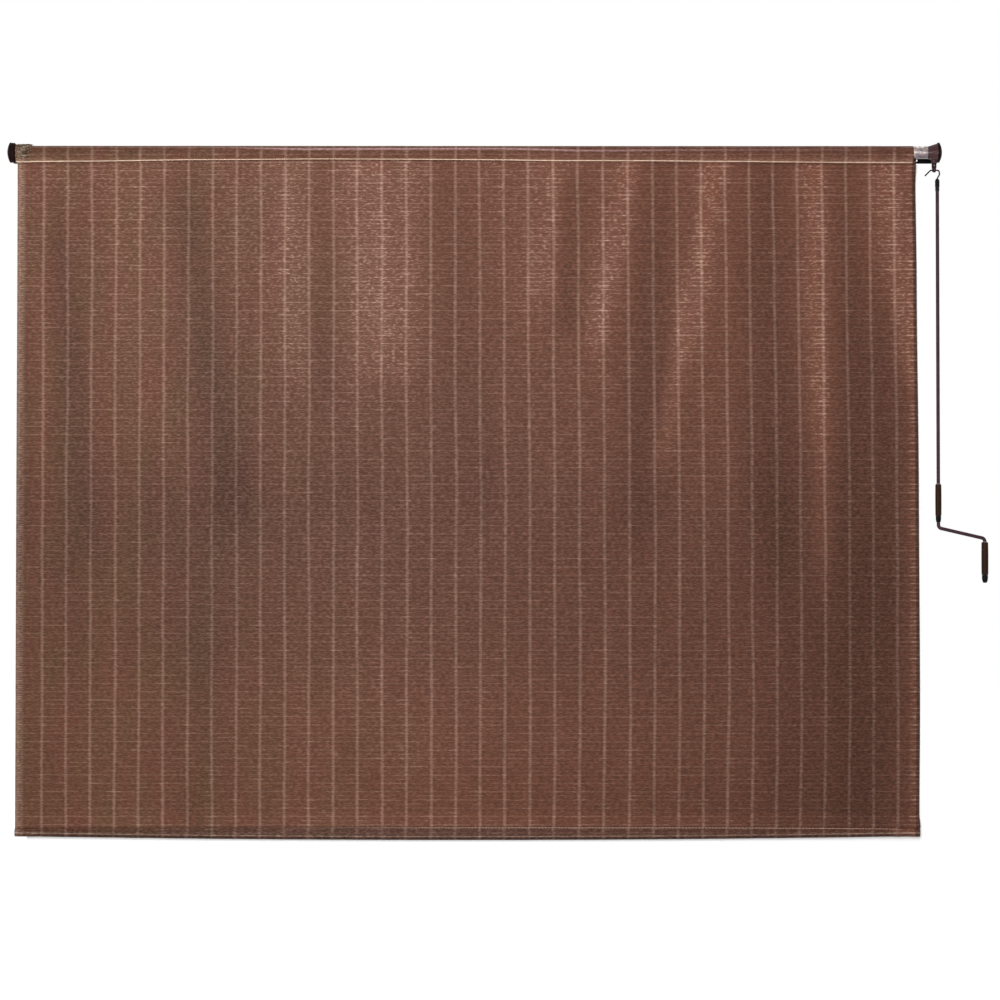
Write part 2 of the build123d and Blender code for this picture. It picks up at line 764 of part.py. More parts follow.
def hem_bar():
    """Tube that weighs the cloth down."""
    left = panel_left + hem_inset
    right = hem_right - hem_inset
    return rail_round(left, right, bar_r) - rail_round(left - cut, right + cut, bar_r - bar_wall)


def hem_plug():
    """Plug in the bar's right-hand end."""
    right = hem_right - hem_inset
    head = rail_round(right, hem_right - hem_plug_inset, bar_r)
    head = chamfer(head.edges().filter_by(GeomType.CIRCLE).sort_by(Axis.X)[-1], hem_plug_bevel)
    return head + rail_round(right - hem_plug_length, right, bar_r - bar_wall - fit_gap)


def crank_hook():
    """Bent wire that hangs in the eye, with its free end towards the cloth."""
    bight_z = eye_centre - eye_hole_r + hook_wire_r + fit_gap
    shoulder_x = crank_x + hook_right + hook_shoulder
    route = [
        (crank_x - hook_reach, axis_y, bight_z - hook_fall),
        (crank_x - hook_left, axis_y, bight_z),
        (crank_x + hook_right, axis_y, bight_z),
        (shoulder_x, axis_y, bight_z - hook_shoulder_fall),
        (wand_x, axis_y, ferrule_top),
        (wand_x, axis_y, rod_top + hook_root),
    ]
    path = FilletPolyline(*route, radius=hook_bend_r)
    start = Plane(path @ 0, z_dir=path % 0)
    wire = sweep(start * Circle(hook_wire_r), path=path)
    tip = wire.edges().filter_by(GeomType.CIRCLE).sort_by_distance(path @ 0)[0]
    return chamfer(tip, edge)


def hook_ferrule():
    """Moulded ferrule that joins the hook to the wand."""
    top = ferrule_top - ferrule_lead
    wire_bore = hook_wire_r + fit_gap
    rod_bore = rod_r + fit_gap
    step = rod_top + rod_stop_gap
    return turned_z([
        (wire_bore, top), (ferrule_mouth_r, top), (ferrule_r, top - ferrule_taper),
        (ferrule_r, ferrule_bottom), (rod_bore, ferrule_bottom), (rod_bore, step), (wire_bore, step),
    ], wand_x)


def rod_collar():
    """Sleeve under the ferrule."""
    sleeve = rod_z(ferrule_bottom - fit_gap, collar_bottom, collar_r, wand_x)
    return sleeve - rod_z(ferrule_bottom + cut, collar_bottom - cut, rod_r + fit_gap, wand_x)


def crank_rod():
    """Bent tube: the long upright, the short arm and the handle's spindle."""
    route = [
        (wand_x, axis_y, rod_top),
        (wand_x, axis_y, elbow_z),
        (handle_x, axis_y, elbow_z - arm_drop),
        (handle_x, axis_y, spindle_bottom),
    ]
    path = FilletPolyline(*route, radius=elbow_r)
    start = Plane(path @ 0, z_dir=path % 0)
    return sweep(start * (Circle(rod_r) - Circle(rod_r - rod_wall)), path=path)


def grip_sleeve(x, top, bottom, radius, belly):
    """Turning sleeve with bevelled ends and a slight belly."""
    bore = x + rod_r + grip_bore_gap
    side = x + radius
    lip = side - grip_edge
    middle = (side + belly, axis_y, (top + bottom) / 2)
    edges = [
        Line((bore, axis_y, top), (lip, axis_y, top)),
        Line((lip, axis_y, top), (side, axis_y, top - grip_edge)),
        ThreePointArc((side, axis_y, top - grip_edge), middle, (side, axis_y, bottom + grip_edge)),
        Line((side, axis_y, bottom + grip_edge), (lip, axis_y, bottom)),
        Line((lip, axis_y, bottom), (bore, axis_y, bottom)),
        Line((bore, axis_y, bottom), (bore, axis_y, top)),
    ]
    return revolve(make_face(edges), Axis((x, axis_y, 0), (0, 0, 1)), 360)


def upper_grip_stop():
    """Tapered collar below the upper grip."""
    top = upper_grip_bottom - side_gap
    low = top - upper_stop_length
    bore = rod_r + fit_gap / 2
    side = upper_grip_r - stop_step
    return turned_z([
        (bore, top), (side, top), (side, top - upper_stop_length / 2),
        (bore + upper_stop_foot, low), (bore, low),
    ], wand_x)


def lower_grip_stop():
    """Rounded cap on the spindle's end, which keeps the lower grip on."""
    top = lower_grip_bottom - side_gap
    low = lower_grip_bottom - lower_stop_length
    bore = rod_r + fit_gap / 2
    side = lower_grip_r - stop_step
    floor = spindle_bottom - fit_gap
    return turned_z([
        (0, low), (side - lower_stop_nose, low), (side - edge, low + lower_stop_nose_height),
        (side, top - lower_stop_skirt), (side, top),
        (bore, top), (bore, floor), (0, floor),
    ], handle_x)


def grip_rings():
    """Push-on rings above the two grips."""
    rings = []
    for x, top in ((wand_x, upper_grip_top), (handle_x, lower_grip_top)):
        low = top + side_gap
        high = low + ring_thickness
        rings.append(rod_z(low, high, ring_r, x) - rod_z(low - cut, high + cut, rod_r + fit_gap / 2, x))
    return rings


def mirrored(shape):
    """The same shape at the idler end."""
    return mirror(shape, about=Plane.YZ)


nodes = {
    "drive_bracket": bracket(gear_hub_r + running_gap),
    "idler_bracket": mirrored(bracket(idler_spigot_r + fit_gap / 2)),
    "drive_end_cap": end_cap(),
    "idler_end_cap": mirrored(end_cap()),
    "gear_housing": gear_housing(),
    "idler_cover": mirrored(idler_cover()),
    "cover_screws": Compound(cover_screws() + [mirrored(screw) for screw in cover_screws()]),
    "drive_bush": drive_bush(),
    "brake_spring": brake_spring(),
    "drive_gear": drive_gear(),
    "gear_washer": gear_washer_ring(),
    "gear_screw": gear_screw(),
    "pinion": pinion(),
    "crank_shaft": crank_shaft(),
    "input_bush": input_bush(),
    "thrust_washer": thrust_washer(),
    "crank_eye": crank_eye(),
    "eye_pin": eye_pin(),
    "idler_axle": mirrored(idler_axle()),
    "idler_washer": mirrored(idler_washer()),
    "idler_nut": mirrored(idler_nut()),
    "idler_plug": mirrored(idler_plug()),
    "idler_bush": mirrored(idler_bush()),
    "drive_plug": drive_plug(),
    "roller_tube": roller_tube(),
    "tube_screw": tube_screw(),
    "fabric_spline": fabric_spline(),
    "fabric_roll": fabric_roll(),
    "fabric_panel": fabric_panel(),
    "hem_pocket": hem_pocket(),
    "hem_bar": hem_bar(),
    "hem_plug_right": hem_plug(),
    "hem_plug_left": Pos(panel_left + hem_right, 0, 0) * mirrored(hem_plug()),
    "crank_hook": crank_hook(),
    "hook_ferrule": hook_ferrule(),
    "rod_collar": rod_collar(),
    "crank_rod": crank_rod(),
    "upper_grip": grip_sleeve(wand_x, upper_grip_top, upper_grip_bottom, upper_grip_r, upper_belly),
    "upper_grip_stop": upper_grip_stop(),
    "lower_grip": grip_sleeve(handle_x, lower_grip_top, lower_grip_bottom, lower_grip_r, lower_belly),
    "lower_grip_stop": lower_grip_stop(),
    "grip_rings": Compound(grip_rings()),
}

os.makedirs("parts", exist_ok=True)
for name, shape in nodes.items():
    export_step(shape, "parts/" + name + ".step")
    print(name, round(shape.volume, 1))
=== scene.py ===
# %% [markdown]
# # An outdoor roller shade with a crank
# The real thing is a length of knitted shade cloth on a steel tube between two wall
# brackets, with a crank wand hanging from the right-hand end. The hard parts come
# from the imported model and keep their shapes. Here they get their finishes, and the
# cloth gets the folds, ribs, stripes and hem that a plain solid can't have.

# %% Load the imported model
import json
import math
import random

import bmesh
import bpy
import numpy as np
from mathutils import Matrix, Vector, noise


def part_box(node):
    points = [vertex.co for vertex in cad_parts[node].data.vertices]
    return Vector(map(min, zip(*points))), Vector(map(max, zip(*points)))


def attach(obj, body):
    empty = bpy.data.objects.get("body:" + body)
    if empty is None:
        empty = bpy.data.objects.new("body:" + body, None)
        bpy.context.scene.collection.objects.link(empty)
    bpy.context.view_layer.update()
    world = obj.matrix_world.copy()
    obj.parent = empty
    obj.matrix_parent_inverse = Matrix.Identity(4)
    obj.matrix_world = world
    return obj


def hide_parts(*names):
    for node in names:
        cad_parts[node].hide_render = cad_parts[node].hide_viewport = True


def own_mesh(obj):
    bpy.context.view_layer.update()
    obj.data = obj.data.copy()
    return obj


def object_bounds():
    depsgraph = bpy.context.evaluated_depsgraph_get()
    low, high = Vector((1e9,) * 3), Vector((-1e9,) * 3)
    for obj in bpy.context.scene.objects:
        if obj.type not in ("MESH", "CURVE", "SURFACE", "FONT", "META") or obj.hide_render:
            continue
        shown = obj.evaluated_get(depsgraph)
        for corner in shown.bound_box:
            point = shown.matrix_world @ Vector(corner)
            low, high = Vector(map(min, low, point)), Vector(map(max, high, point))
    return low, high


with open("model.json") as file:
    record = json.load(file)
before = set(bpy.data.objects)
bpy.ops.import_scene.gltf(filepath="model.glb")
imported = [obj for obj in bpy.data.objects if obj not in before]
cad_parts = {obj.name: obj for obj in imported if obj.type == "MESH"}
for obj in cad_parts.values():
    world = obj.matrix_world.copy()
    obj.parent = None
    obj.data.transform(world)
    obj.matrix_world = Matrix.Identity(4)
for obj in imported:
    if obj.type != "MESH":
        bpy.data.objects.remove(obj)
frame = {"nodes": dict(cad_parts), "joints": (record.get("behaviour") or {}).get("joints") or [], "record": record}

MM = 0.001
cad_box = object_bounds()
nodes = frame["nodes"]
print("nodes", len(nodes), "box", [round(side, 4) for side in cad_box[1] - cad_box[0]])

# %% [markdown]
# ## The camera
# The photograph was taken from in front, a little right of the shade's middle and
# about level with its lower half, with a long lens. The picture's scale at the
# roller and the height of the roller in the frame give the distance and the tilt.

# %% Place the camera
CAMERA_SPOT = (0.0684, -7.525, -1.1087)
CAMERA_TILT = 1.3
CAMERA_LENS = 99.93
CAMERA_SENSOR = 36


def linked(name, data):
    """A new object in the scene that shows this data."""
    obj = bpy.data.objects.new(name, data)
    bpy.context.scene.collection.objects.link(obj)
    return obj


def place_camera():
    """The photograph's view: 1000 by 1000 pixels at 2.71 mm a pixel on the cloth."""
    data = bpy.data.cameras.new("camera")
    data.lens = CAMERA_LENS
    data.sensor_width = CAMERA_SENSOR
    camera = linked("camera", data)
    camera.location = CAMERA_SPOT
    camera.rotation_euler = (math.radians(90 + CAMERA_TILT), 0, 0)
    bpy.context.scene.camera = camera


place_camera()
bpy.context.scene.view_settings.view_transform = "Standard"
print("camera", CAMERA_SPOT, "lens", CAMERA_LENS)

# %% [markdown]
# ## Shader sums
# A finish is easier to read as a sum than as a list of nodes. `Link` wraps one output
# of a node, so that `1 - mask * 0.5` adds the Math nodes by itself. Every other node
# comes from `Nodes.add`, which sets the node's settings first and its sockets next.
# `Nodes` is enough for the world, and `Finish` adds a material and its shader to it.

# %% Wrap a socket and a material


class Link:
    """One output of a node, written like a number."""

    def __init__(self, finish, socket):
        self.finish = finish
        self.socket = socket

    def math(self, operation, *values):
        return self.finish.add("ShaderNodeMath", {"operation": operation}, dict(enumerate(values)))

    def most(self, other):
        """The larger of two values."""
        return self.math("MAXIMUM", self, other)

    def __add__(self, other):
        return self.math("ADD", self, other)

    def __sub__(self, other):
        return self.math("SUBTRACT", self, other)

    def __rsub__(self, other):
        return self.math("SUBTRACT", other, self)

    def __mul__(self, other):
        return self.math("MULTIPLY", self, other)

    __radd__ = __add__


class Nodes:
    """One tree of nodes, and the few ways in which it grows."""

    def __init__(self, tree):
        self.tree = tree

    def add(self, kind, settings=None, inputs=None, output=0):
        """A node with its settings, then the values or links of its sockets."""
        node = self.tree.nodes.new(kind)
        for name, value in (settings or {}).items():
            if name == "stops":
                self.set_stops(node.color_ramp, value)
            else:
                setattr(node, name, value)
        for key, value in (inputs or {}).items():
            self.feed(node.inputs[key], value)
        return Link(self, node.outputs[output])

    def set_stops(self, ramp, stops):
        """Places and colours of a ramp, which starts out with two stops."""
        while len(ramp.elements) < len(stops):
            ramp.elements.new(0.5)
        for element, (place, colour) in zip(ramp.elements, stops):
            element.position = place
            element.color = colour

    def feed(self, socket, value):
        if isinstance(value, Link):
            self.tree.links.new(value.socket, socket)
        elif socket.type == "VECTOR":
            socket.default_value = value[:3]
        else:
            socket.default_value = value

    def outputs(self, link, *names):
        """Several outputs of the node behind a link."""
        return [Link(self, link.socket.node.outputs[name]) for name in names]

    def seen(self):
        """1 where the camera, a mirror or glass looks, 0 where light falls on things."""
        rays = self.add("ShaderNodeLightPath")
        camera, mirror, glass = self.outputs(rays, "Is Camera Ray", "Is Glossy Ray", "Is Transmission Ray")
        return camera.most(mirror).most(glass)

    def mix(self, factor, first, second):
        """Blend two colours, which the Mix node keeps at its sockets 6, 7 and 2."""
        return self.add("ShaderNodeMix", {"data_type": "RGBA"}, {0: factor, 6: first, 7: second}, 2)

    def scale(self, colour, factor):
        """Make a colour darker or lighter."""
        return self.add("ShaderNodeVectorMath", {"operation": "SCALE"}, {0: colour, "Scale": factor})

    def stretch(self, vector, sizes):
        """Multiply a vector by three plain numbers."""
        return self.add("ShaderNodeVectorMath", {"operation": "MULTIPLY"}, {0: vector, 1: sizes})

    def grain(self, vector, size=1.0, detail=2.0, twist=0.0):
        """Soft noise from 0 to 1."""
        values = {"Vector": vector, "Scale": size, "Detail": detail, "Distortion": twist}
        return self.add("ShaderNodeTexNoise", {}, values)

    def soft(self, value, none, full):
        """0 at `none`, 1 at `full`, and smooth between them."""
        values = {"Value": value, "From Min": none, "From Max": full}
        return self.add("ShaderNodeMapRange", {"interpolation_type": "SMOOTHSTEP"}, values)

    def place(self):
        """The point on the piece, in metres."""
        return self.add("ShaderNodeTexCoord", output="Object")

    def split(self, vector):
        """The three numbers of a vector."""
        return self.outputs(self.add("ShaderNodeSeparateXYZ", {}, {0: vector}), "X", "Y", "Z")

    def carried(self, name, output="Fac"):
        """What the points of the mesh carry under this name."""
        return self.add("ShaderNodeAttribute", {"attribute_name": name}, output=output)


class Finish(Nodes):
    """A material, and the nodes that feed its shader."""

    def __init__(self, name, **plain):
        self.material = bpy.data.materials.new(name)
        self.material.use_nodes = True
        super().__init__(self.material.node_tree)
        self.shader = self.tree.nodes["Principled BSDF"]
        for socket, value in plain.items():
            self.shader.inputs[socket.replace("_", " ")].default_value = value

    def set(self, name, value):
        """Feed one socket of the shader."""
        self.feed(self.shader.inputs[name], value)

    def bump(self, height, depth):
        """Let a height from 0 to 1 tilt the shader's normal over a depth in metres."""
        values = {"Height": height, "Distance": depth, "Strength": 1.0}
        self.set("Normal", self.add("ShaderNodeBump", {}, values))


def colour(red, green, blue):
    """A colour as it is seen on a screen, from 0 to 255, in the shader's linear numbers."""
    linear = []
    for level in (red, green, blue):
        share = level / 255
        linear.append(share / 12.92 if share < 0.04045 else ((share + 0.055) / 1.055) ** 2.4)
    return (*linear, 1.0)


print("mid brown", [round(level, 3) for level in colour(116, 80, 66)])

# %% [markdown]
# ## Light
# The picture is a studio cut-out: pure white behind, a large soft lamp in front, left
# of the middle and a little below the roller, and light that falls off towards the
# lower right. A weak wide lamp fills in from the right, and a small one lights the
# gear end. The white comes from what the camera sees, not from more light on the
# shade, so the cloth keeps its colour.

# %% Lamps and the white world
KEY_SPOT = Vector((-0.7, -3.3, -0.28))
KEY_AIM = Vector((-0.1, 0.0, -0.75))
KEY_SIZE = 1.2
KEY_POWER = 75
FILL_SPOT = Vector((2.6, -5.2, -0.2))
FILL_SIZE = 2.4
FILL_POWER = 8
SIDE_SPOT = Vector((1.9, -2.3, -0.15))
SIDE_AIM = Vector((1.0, 0.0, -0.25))
SIDE_SIZE = 1.0
SIDE_POWER = 7
WORLD_STRENGTH = 0.26
WHITE = (1.0, 1.0, 1.0, 1.0)
BLACK = (0.0, 0.0, 0.0, 1.0)


def lamp(name, spot, aim, size, power):
    """A square soft lamp that looks at a point."""
    data = bpy.data.lights.new(name, "AREA")
    data.shape = "SQUARE"
    data.size = size
    data.energy = power
    obj = linked(name, data)
    obj.location = spot
    obj.rotation_mode = "QUATERNION"
    obj.rotation_quaternion = (aim - spot).to_track_quat("-Z", "Y")
    obj.visible_camera = False


def white_world():
    """White where the camera or a mirror looks, and a dimmer white as light."""
    world = bpy.data.worlds.new("studio")
    world.use_nodes = True
    studio = Nodes(world.node_tree)
    background = studio.tree.nodes["Background"]
    studio.feed(background.inputs["Strength"], studio.seen() * (1 - WORLD_STRENGTH) + WORLD_STRENGTH)
    studio.feed(background.inputs["Color"], WHITE)
    bpy.context.scene.world = world


lamp("key_lamp", KEY_SPOT, KEY_AIM, KEY_SIZE, KEY_POWER)
lamp("fill_lamp", FILL_SPOT, KEY_AIM, FILL_SIZE, FILL_POWER)
lamp("side_lamp", SIDE_SPOT, SIDE_AIM, SIDE_SIZE, SIDE_POWER)
white_world()
print("key lamp", tuple(KEY_SPOT), KEY_POWER, "W")

# %% [markdown]
# ## Floor and white sheet
# The floor lies well below the hanging shade, and the camera and mirrors see it as
# white as the background. The photograph has a thin soft shadow along the cloth's
# right and lower edges, so a white sheet stands close behind the cloth and fades out
# a little past those two edges. Only the camera sees it, and only from the front, so
# that views from behind show the back of the shade.

# %% Make the floor and the white sheet behind
FLOOR_BELOW = 1.0
FLOOR_REACH = 30.0
SHEET_BEHIND = 8.4 * MM        # the cloth's middle surface to the white sheet
SHEET_BEYOND = 30 * MM         # past the hem, and in from the cloth's left edge, which has no shadow
SHEET_FADE = 22 * MM
RIGHT_BEYOND = 15 * MM
RIGHT_FADE = 14 * MM
SHEET_TOP = -30 * MM
SHEET_GLOW = 0.36
SHEET_GREY = (0.8, 0.8, 0.8, 1.0)
FLOOR_GREY = (0.9, 0.9, 0.9, 1.0)
FLOOR_GLOW = (0.85, 0.85, 0.85, 1.0)


def flat_stage(name, corners, finish):
    """A four-cornered stage surface."""
    mesh = bpy.data.meshes.new(name)
    mesh.from_pydata(corners, [], [(0, 1, 2, 3)])
    mesh.materials.append(finish)
    obj = linked(name, mesh)
    return obj


def floor_finish():
    """White paper, which the camera and mirrors see as white as the background."""
    floor = Finish("floor_paper", Roughness=0.9, Emission_Strength=1.0)
    floor.set("Base Color", FLOOR_GREY)
    floor.set("Emission Color", floor.mix(floor.seen(), BLACK, FLOOR_GLOW))
    return floor.material


def sheet_finish(right, bottom):
    """White from the front, clear from behind, and fading out past the cloth's edges."""
    paper = Finish("white_sheet", Roughness=1.0, Specular_IOR_Level=0.0, Emission_Strength=SHEET_GLOW)
    paper.set("Base Color", SHEET_GREY)
    paper.set("Emission Color", WHITE)
    behind = paper.add("ShaderNodeNewGeometry", output="Backfacing")
    across, _, up = paper.split(paper.place())
    past_right = paper.soft(across, right - RIGHT_FADE, right)
    past_bottom = paper.soft(up, bottom + SHEET_FADE, bottom)
    behind = behind.most(past_right).most(past_bottom)
    clear = paper.add("ShaderNodeBsdfTransparent")
    solid = Link(paper, paper.shader.outputs[0])
    both = paper.add("ShaderNodeMixShader", {}, {0: behind, 1: solid, 2: clear})
    output = paper.tree.nodes["Material Output"]
    paper.feed(output.inputs["Surface"], both)
    return paper.material


floor_z = cad_box[0].z - FLOOR_BELOW
flat_stage("floor", [
    (-FLOOR_REACH, -FLOOR_REACH, floor_z), (FLOOR_REACH, -FLOOR_REACH, floor_z),
    (FLOOR_REACH, FLOOR_REACH, floor_z), (-FLOOR_REACH, FLOOR_REACH, floor_z),
], floor_finish())
panel_low, panel_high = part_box("fabric_panel")
sheet_y = (panel_low.y + panel_high.y) / 2 + SHEET_BEHIND
left, right = panel_low.x + SHEET_BEYOND, panel_high.x + RIGHT_BEYOND
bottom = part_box("hem_pocket")[0].z - SHEET_BEYOND
white_sheet = flat_stage("white_sheet", [
    (left, sheet_y, bottom), (right, sheet_y, bottom),
    (right, sheet_y, SHEET_TOP), (left, sheet_y, SHEET_TOP),
], sheet_finish(right, bottom))
white_sheet.visible_diffuse = False
white_sheet.visible_glossy = False
white_sheet.visible_transmission = False
white_sheet.visible_shadow = False
print("floor at", round(floor_z, 3), "white sheet at y", round(sheet_y, 4))

# %% [markdown]
# ## Sizes of the cloth
# The imported solids say where the cloth is. The photograph adds what a flat solid
# can't say: the rail hangs lower in the middle, and the right edge bulges outwards
# and curls back. Curves that run along the cloth are written as a few given places,
# with a smooth line through them.

# %% Measure the cloth's places
hem_low, hem_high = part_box("hem_pocket")
bar_low, bar_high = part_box("hem_bar")
roll_low, roll_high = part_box("fabric_roll")
tube_low, tube_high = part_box("roller_tube")
cloth_left = panel_low.x
cloth_width = panel_high.x - panel_low.x
cloth_y = (panel_low.y + panel_high.y) / 2
cloth_drop = -hem_high.z
axis_y = (tube_low.y + tube_high.y) / 2
tube_r = (tube_high.y - tube_low.y) / 2
bar_r = (bar_high.y - bar_low.y) / 2
bar_z = (bar_low.z + bar_high.z) / 2

CLOTH_THICKNESS = 0.6 * MM
RIB_PITCH = 22.4 * MM
STRIPE_PITCH = 65.8 * MM
RAIL_BOW = 10.4 * MM
SEAM_DIP = 4.0 * MM
STRIPE_DRIFT = [
    (0.00, 5.4), (0.35, 4.0), (0.90, 0.5), (1.30, 2.4), (1.80, 10.8), (2.20, 9.0), (2.44, 6.0),
]
EDGE_BULGE = [
    (0.00, -2.4), (0.20, 0.8), (0.50, 4.7), (0.80, 6.0), (1.00, 3.2),
]
print("cloth", round(cloth_width, 4), "wide", round(cloth_drop, 4), "high, roller at y", round(axis_y, 4))


def smooth(share):
    """0 to 1, level at both ends."""
    share = np.clip(share, 0.0, 1.0)
    return share * share * (3 - 2 * share)


def hill(distance, width):
    """A round hill, 1 at its middle."""
    return np.exp(-(distance / width) ** 2)


def line_through(places, x):
    """A smooth line through a few (place, height) pairs."""
    spots = [place for place, _ in places]
    heights = [height for _, height in places]
    x = np.clip(x, spots[0], spots[-1])
    step = np.clip(np.searchsorted(spots, x, side="right") - 1, 0, len(spots) - 2)
    before = np.take(spots, step)
    after = np.take(spots, step + 1)
    share = smooth((x - before) / (after - before))
    return np.take(heights, step) * (1 - share) + np.take(heights, step + 1) * share


def wobble(x, z, size, seed):
    """Gentle noise from about -1 to 1 at a size in metres."""
    flat_x, flat_z = np.broadcast_arrays(x, z)
    values = [noise.noise(Vector((a / size, b / size, seed))) for a, b in zip(flat_x.flat, flat_z.flat)]
    return np.array(values).reshape(flat_x.shape)


def woven(x):
    """Distance across the flat cloth at a place along the shade, with the stripes' drift."""
    across = x - cloth_left
    return across - line_through(STRIPE_DRIFT, across) * MM


def sideways(x):
    """0 in the middle of the cloth, 1 at both its edges."""
    return np.clip(np.abs(x - cloth_left - cloth_width / 2) / (cloth_width / 2), 0, 1)


def seam_z(x):
    """Height of the hem's seam, which dips at the two ends."""
    return -cloth_drop - SEAM_DIP * sideways(x) ** 4


def bar_height(x):
    """Height of the bar's middle, which bows down between its ends."""
    return bar_z - RAIL_BOW * (1 - sideways(x) ** 2)


print("seam in the middle", round(float(seam_z(0.0)), 4), "bar", round(float(bar_height(0.0)), 4))

# %% [markdown]
# ## The folds
# Shade cloth that has been rolled up keeps long soft waves. In the picture each wave
# shows as a pale band where the cloth turns towards the lamp and a dark one where it
# turns away. So the folds are written as the slopes that are seen: top and foot of
# each band, its width, and how far the cloth turns. Adding the slopes up from left
# to right gives the surface, and the same slopes set where glints, light and shade are painted into the tape's
# colour.

# %% Write the folds by their slopes
FOLDS = [
    # top x, top z, foot x, foot z, half width, slope
    (-0.942, 0.00, -0.930, -0.68, 0.115, 0.038),
    (-1.124, -0.25, -1.051, -0.95, 0.045, -0.050),
    (-1.170, 0.00, -1.180, -1.30, 0.040, 0.035),
    (-0.780, -0.18, -0.655, -0.90, 0.055, -0.062),
    (-0.509, 0.00, -0.490, -0.55, 0.050, 0.038),
    (-0.400, -0.02, -0.415, -0.60, 0.035, -0.030),
    (-0.276, 0.00, -0.250, -0.52, 0.110, 0.040),
    (-0.060, -0.10, -0.020, -0.80, 0.070, -0.028),
    (0.212, 0.00, 0.190, -0.35, 0.050, 0.034),
    (0.266, -0.10, 0.250, -0.42, 0.030, -0.052),
    (0.421, -0.02, 0.339, -0.45, 0.030, 0.070),
    (0.502, -0.02, 0.450, -0.90, 0.055, -0.058),
    (0.656, -0.02, 0.583, -0.45, 0.030, 0.075),
    (0.583, -0.40, 0.502, -0.80, 0.030, 0.050),
    (0.790, -0.02, 0.800, -0.98, 0.070, -0.062),
    (0.920, -0.02, 0.930, -0.98, 0.028, 0.075),
    (1.010, -0.02, 1.020, -1.00, 0.040, -0.050),
    (1.117, -0.02, 1.160, -0.52, 0.035, 0.080),
    (1.098, -0.62, 1.030, -1.84, 0.095, -0.075),
    (0.880, -0.90, 0.860, -1.84, 0.110, -0.035),
    (-0.300, -1.10, -0.280, -1.84, 0.400, 0.012),
    (-1.000, -0.90, -0.960, -1.84, 0.100, 0.022),
    (-0.720, -1.00, -0.740, -1.84, 0.070, -0.022),
    (1.185, -0.50, 1.190, -1.84, 0.022, 0.060),
]
FOLD_EASE = 0.34               # a fold fades over this share of its length
TOP_EASE = 0.30                # and the cloth is flat where it leaves the roll
LOOSE_SLOPE = 0.012            # small uneven turns between the folds
LOOSE_SIZE = 0.21


def fold_slopes(x, z):
    """How far the cloth turns towards the left at each point."""
    slopes = np.zeros(np.broadcast(x, z).shape)
    for top_x, top_z, foot_x, foot_z, width, slope in FOLDS:
        share = (z - top_z) / (foot_z - top_z)
        middle = top_x + (foot_x - top_x) * share
        fade = smooth((share + FOLD_EASE) / FOLD_EASE) * smooth((1 + FOLD_EASE - share) / FOLD_EASE)
        slopes += slope * hill(x - middle, width) * fade
    return slopes


def fold_depth(x, z):
    """The surface that has those slopes, in metres towards the viewer, level at both edges."""
    slopes = fold_slopes(x, z) + LOOSE_SLOPE * wobble(x, z * 0.35, LOOSE_SIZE, 3.0)
    step = np.diff(x, axis=1, prepend=x[:, :1])
    depth = np.cumsum(slopes * step, axis=1)
    share = (x - x[:, :1]) / (x[:, -1:] - x[:, :1])
    return depth - depth[:, -1:] * share


def edge_shift(z):
    """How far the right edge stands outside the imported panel."""
    return line_through(EDGE_BULGE, np.clip(-z / cloth_drop, 0, 1)) * MM


print("folds", len(FOLDS))

# %% [markdown]
# ## Sheets of cloth
# Panel, roll and hem are the same knitted cloth, so one function makes all three. It
# takes the middle surface as rows and columns of points, moves a copy of it half the
# cloth's thickness to each side, and joins the rims. Each point also keeps its place
# in the flat cloth, so that stripes and ribs run on from one piece to the next, and
# three levels of painted light for the finish: its painted glint, its painted light and shade, and its painted
# highlight.

# %% Make a sheet from rows of points
SHARP_ANGLE = math.radians(50)


def smooth_mesh(name, points, faces, finish):
    """A mesh with smooth shading, broken only at its sharp corners."""
    mesh = bpy.data.meshes.new(name)
    mesh.from_pydata(points, [], faces)
    mesh.update()
    mesh.shade_smooth()
    mesh.set_sharp_from_angle(angle=SHARP_ANGLE)
    mesh.materials.append(finish)
    return mesh


def riding(name, mesh, body):
    """An object that moves with a body."""
    obj = linked(name, mesh)
    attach(obj, body)
    return obj


def unit(vectors):
    """Vectors at length one."""
    return vectors / np.maximum(np.linalg.norm(vectors, axis=-1, keepdims=True), 1e-12)


def sheet_faces(rows, columns):
    """Front, back and rim faces of a closed sheet."""
    spots = np.arange(rows * columns).reshape(rows, columns)
    corners = (spots[:-1, :-1], spots[1:, :-1], spots[1:, 1:], spots[:-1, 1:])
    front = np.stack([corner.ravel() for corner in corners], axis=1)
    back = front[:, ::-1] + rows * columns
    rim = np.concatenate([spots[:, 0], spots[-1, 1:], spots[-2::-1, -1], spots[0, -2:0:-1]])
    after = np.roll(rim, -1)
    sides = np.stack([rim, rim + rows * columns, after + rows * columns, after], axis=1)
    return np.concatenate([front, back, sides]).tolist()


def cloth_sheet(name, points, flat, body, finish, rubbed=None):
    """A thick sheet; `flat` holds each point's place across and along, its painted glint and its painted light and
    shade.
    """
    across = np.gradient(points, axis=1)
    down = np.gradient(points, axis=0)
    outwards = unit(np.cross(down, across)) * (CLOTH_THICKNESS / 2)
    both = np.concatenate([(points + outwards).reshape(-1, 3), (points - outwards).reshape(-1, 3)])
    rows, columns = points.shape[:2]
    mesh = smooth_mesh(name, both.tolist(), sheet_faces(rows, columns), finish)
    cloth = mesh.attributes.new("cloth", "FLOAT_VECTOR", "POINT")
    cloth.data.foreach_set("vector", np.tile(flat[..., :3].reshape(-1, 3), (2, 1)).ravel())
    if rubbed is None:
        rubbed = np.zeros((rows, columns))
    for label, values in (("tone", flat[..., 3]), ("rubbed", rubbed)):
        level = mesh.attributes.new(label, "FLOAT", "POINT")
        level.data.foreach_set("value", np.tile(values.ravel(), 2))
    return riding(name, mesh, body)
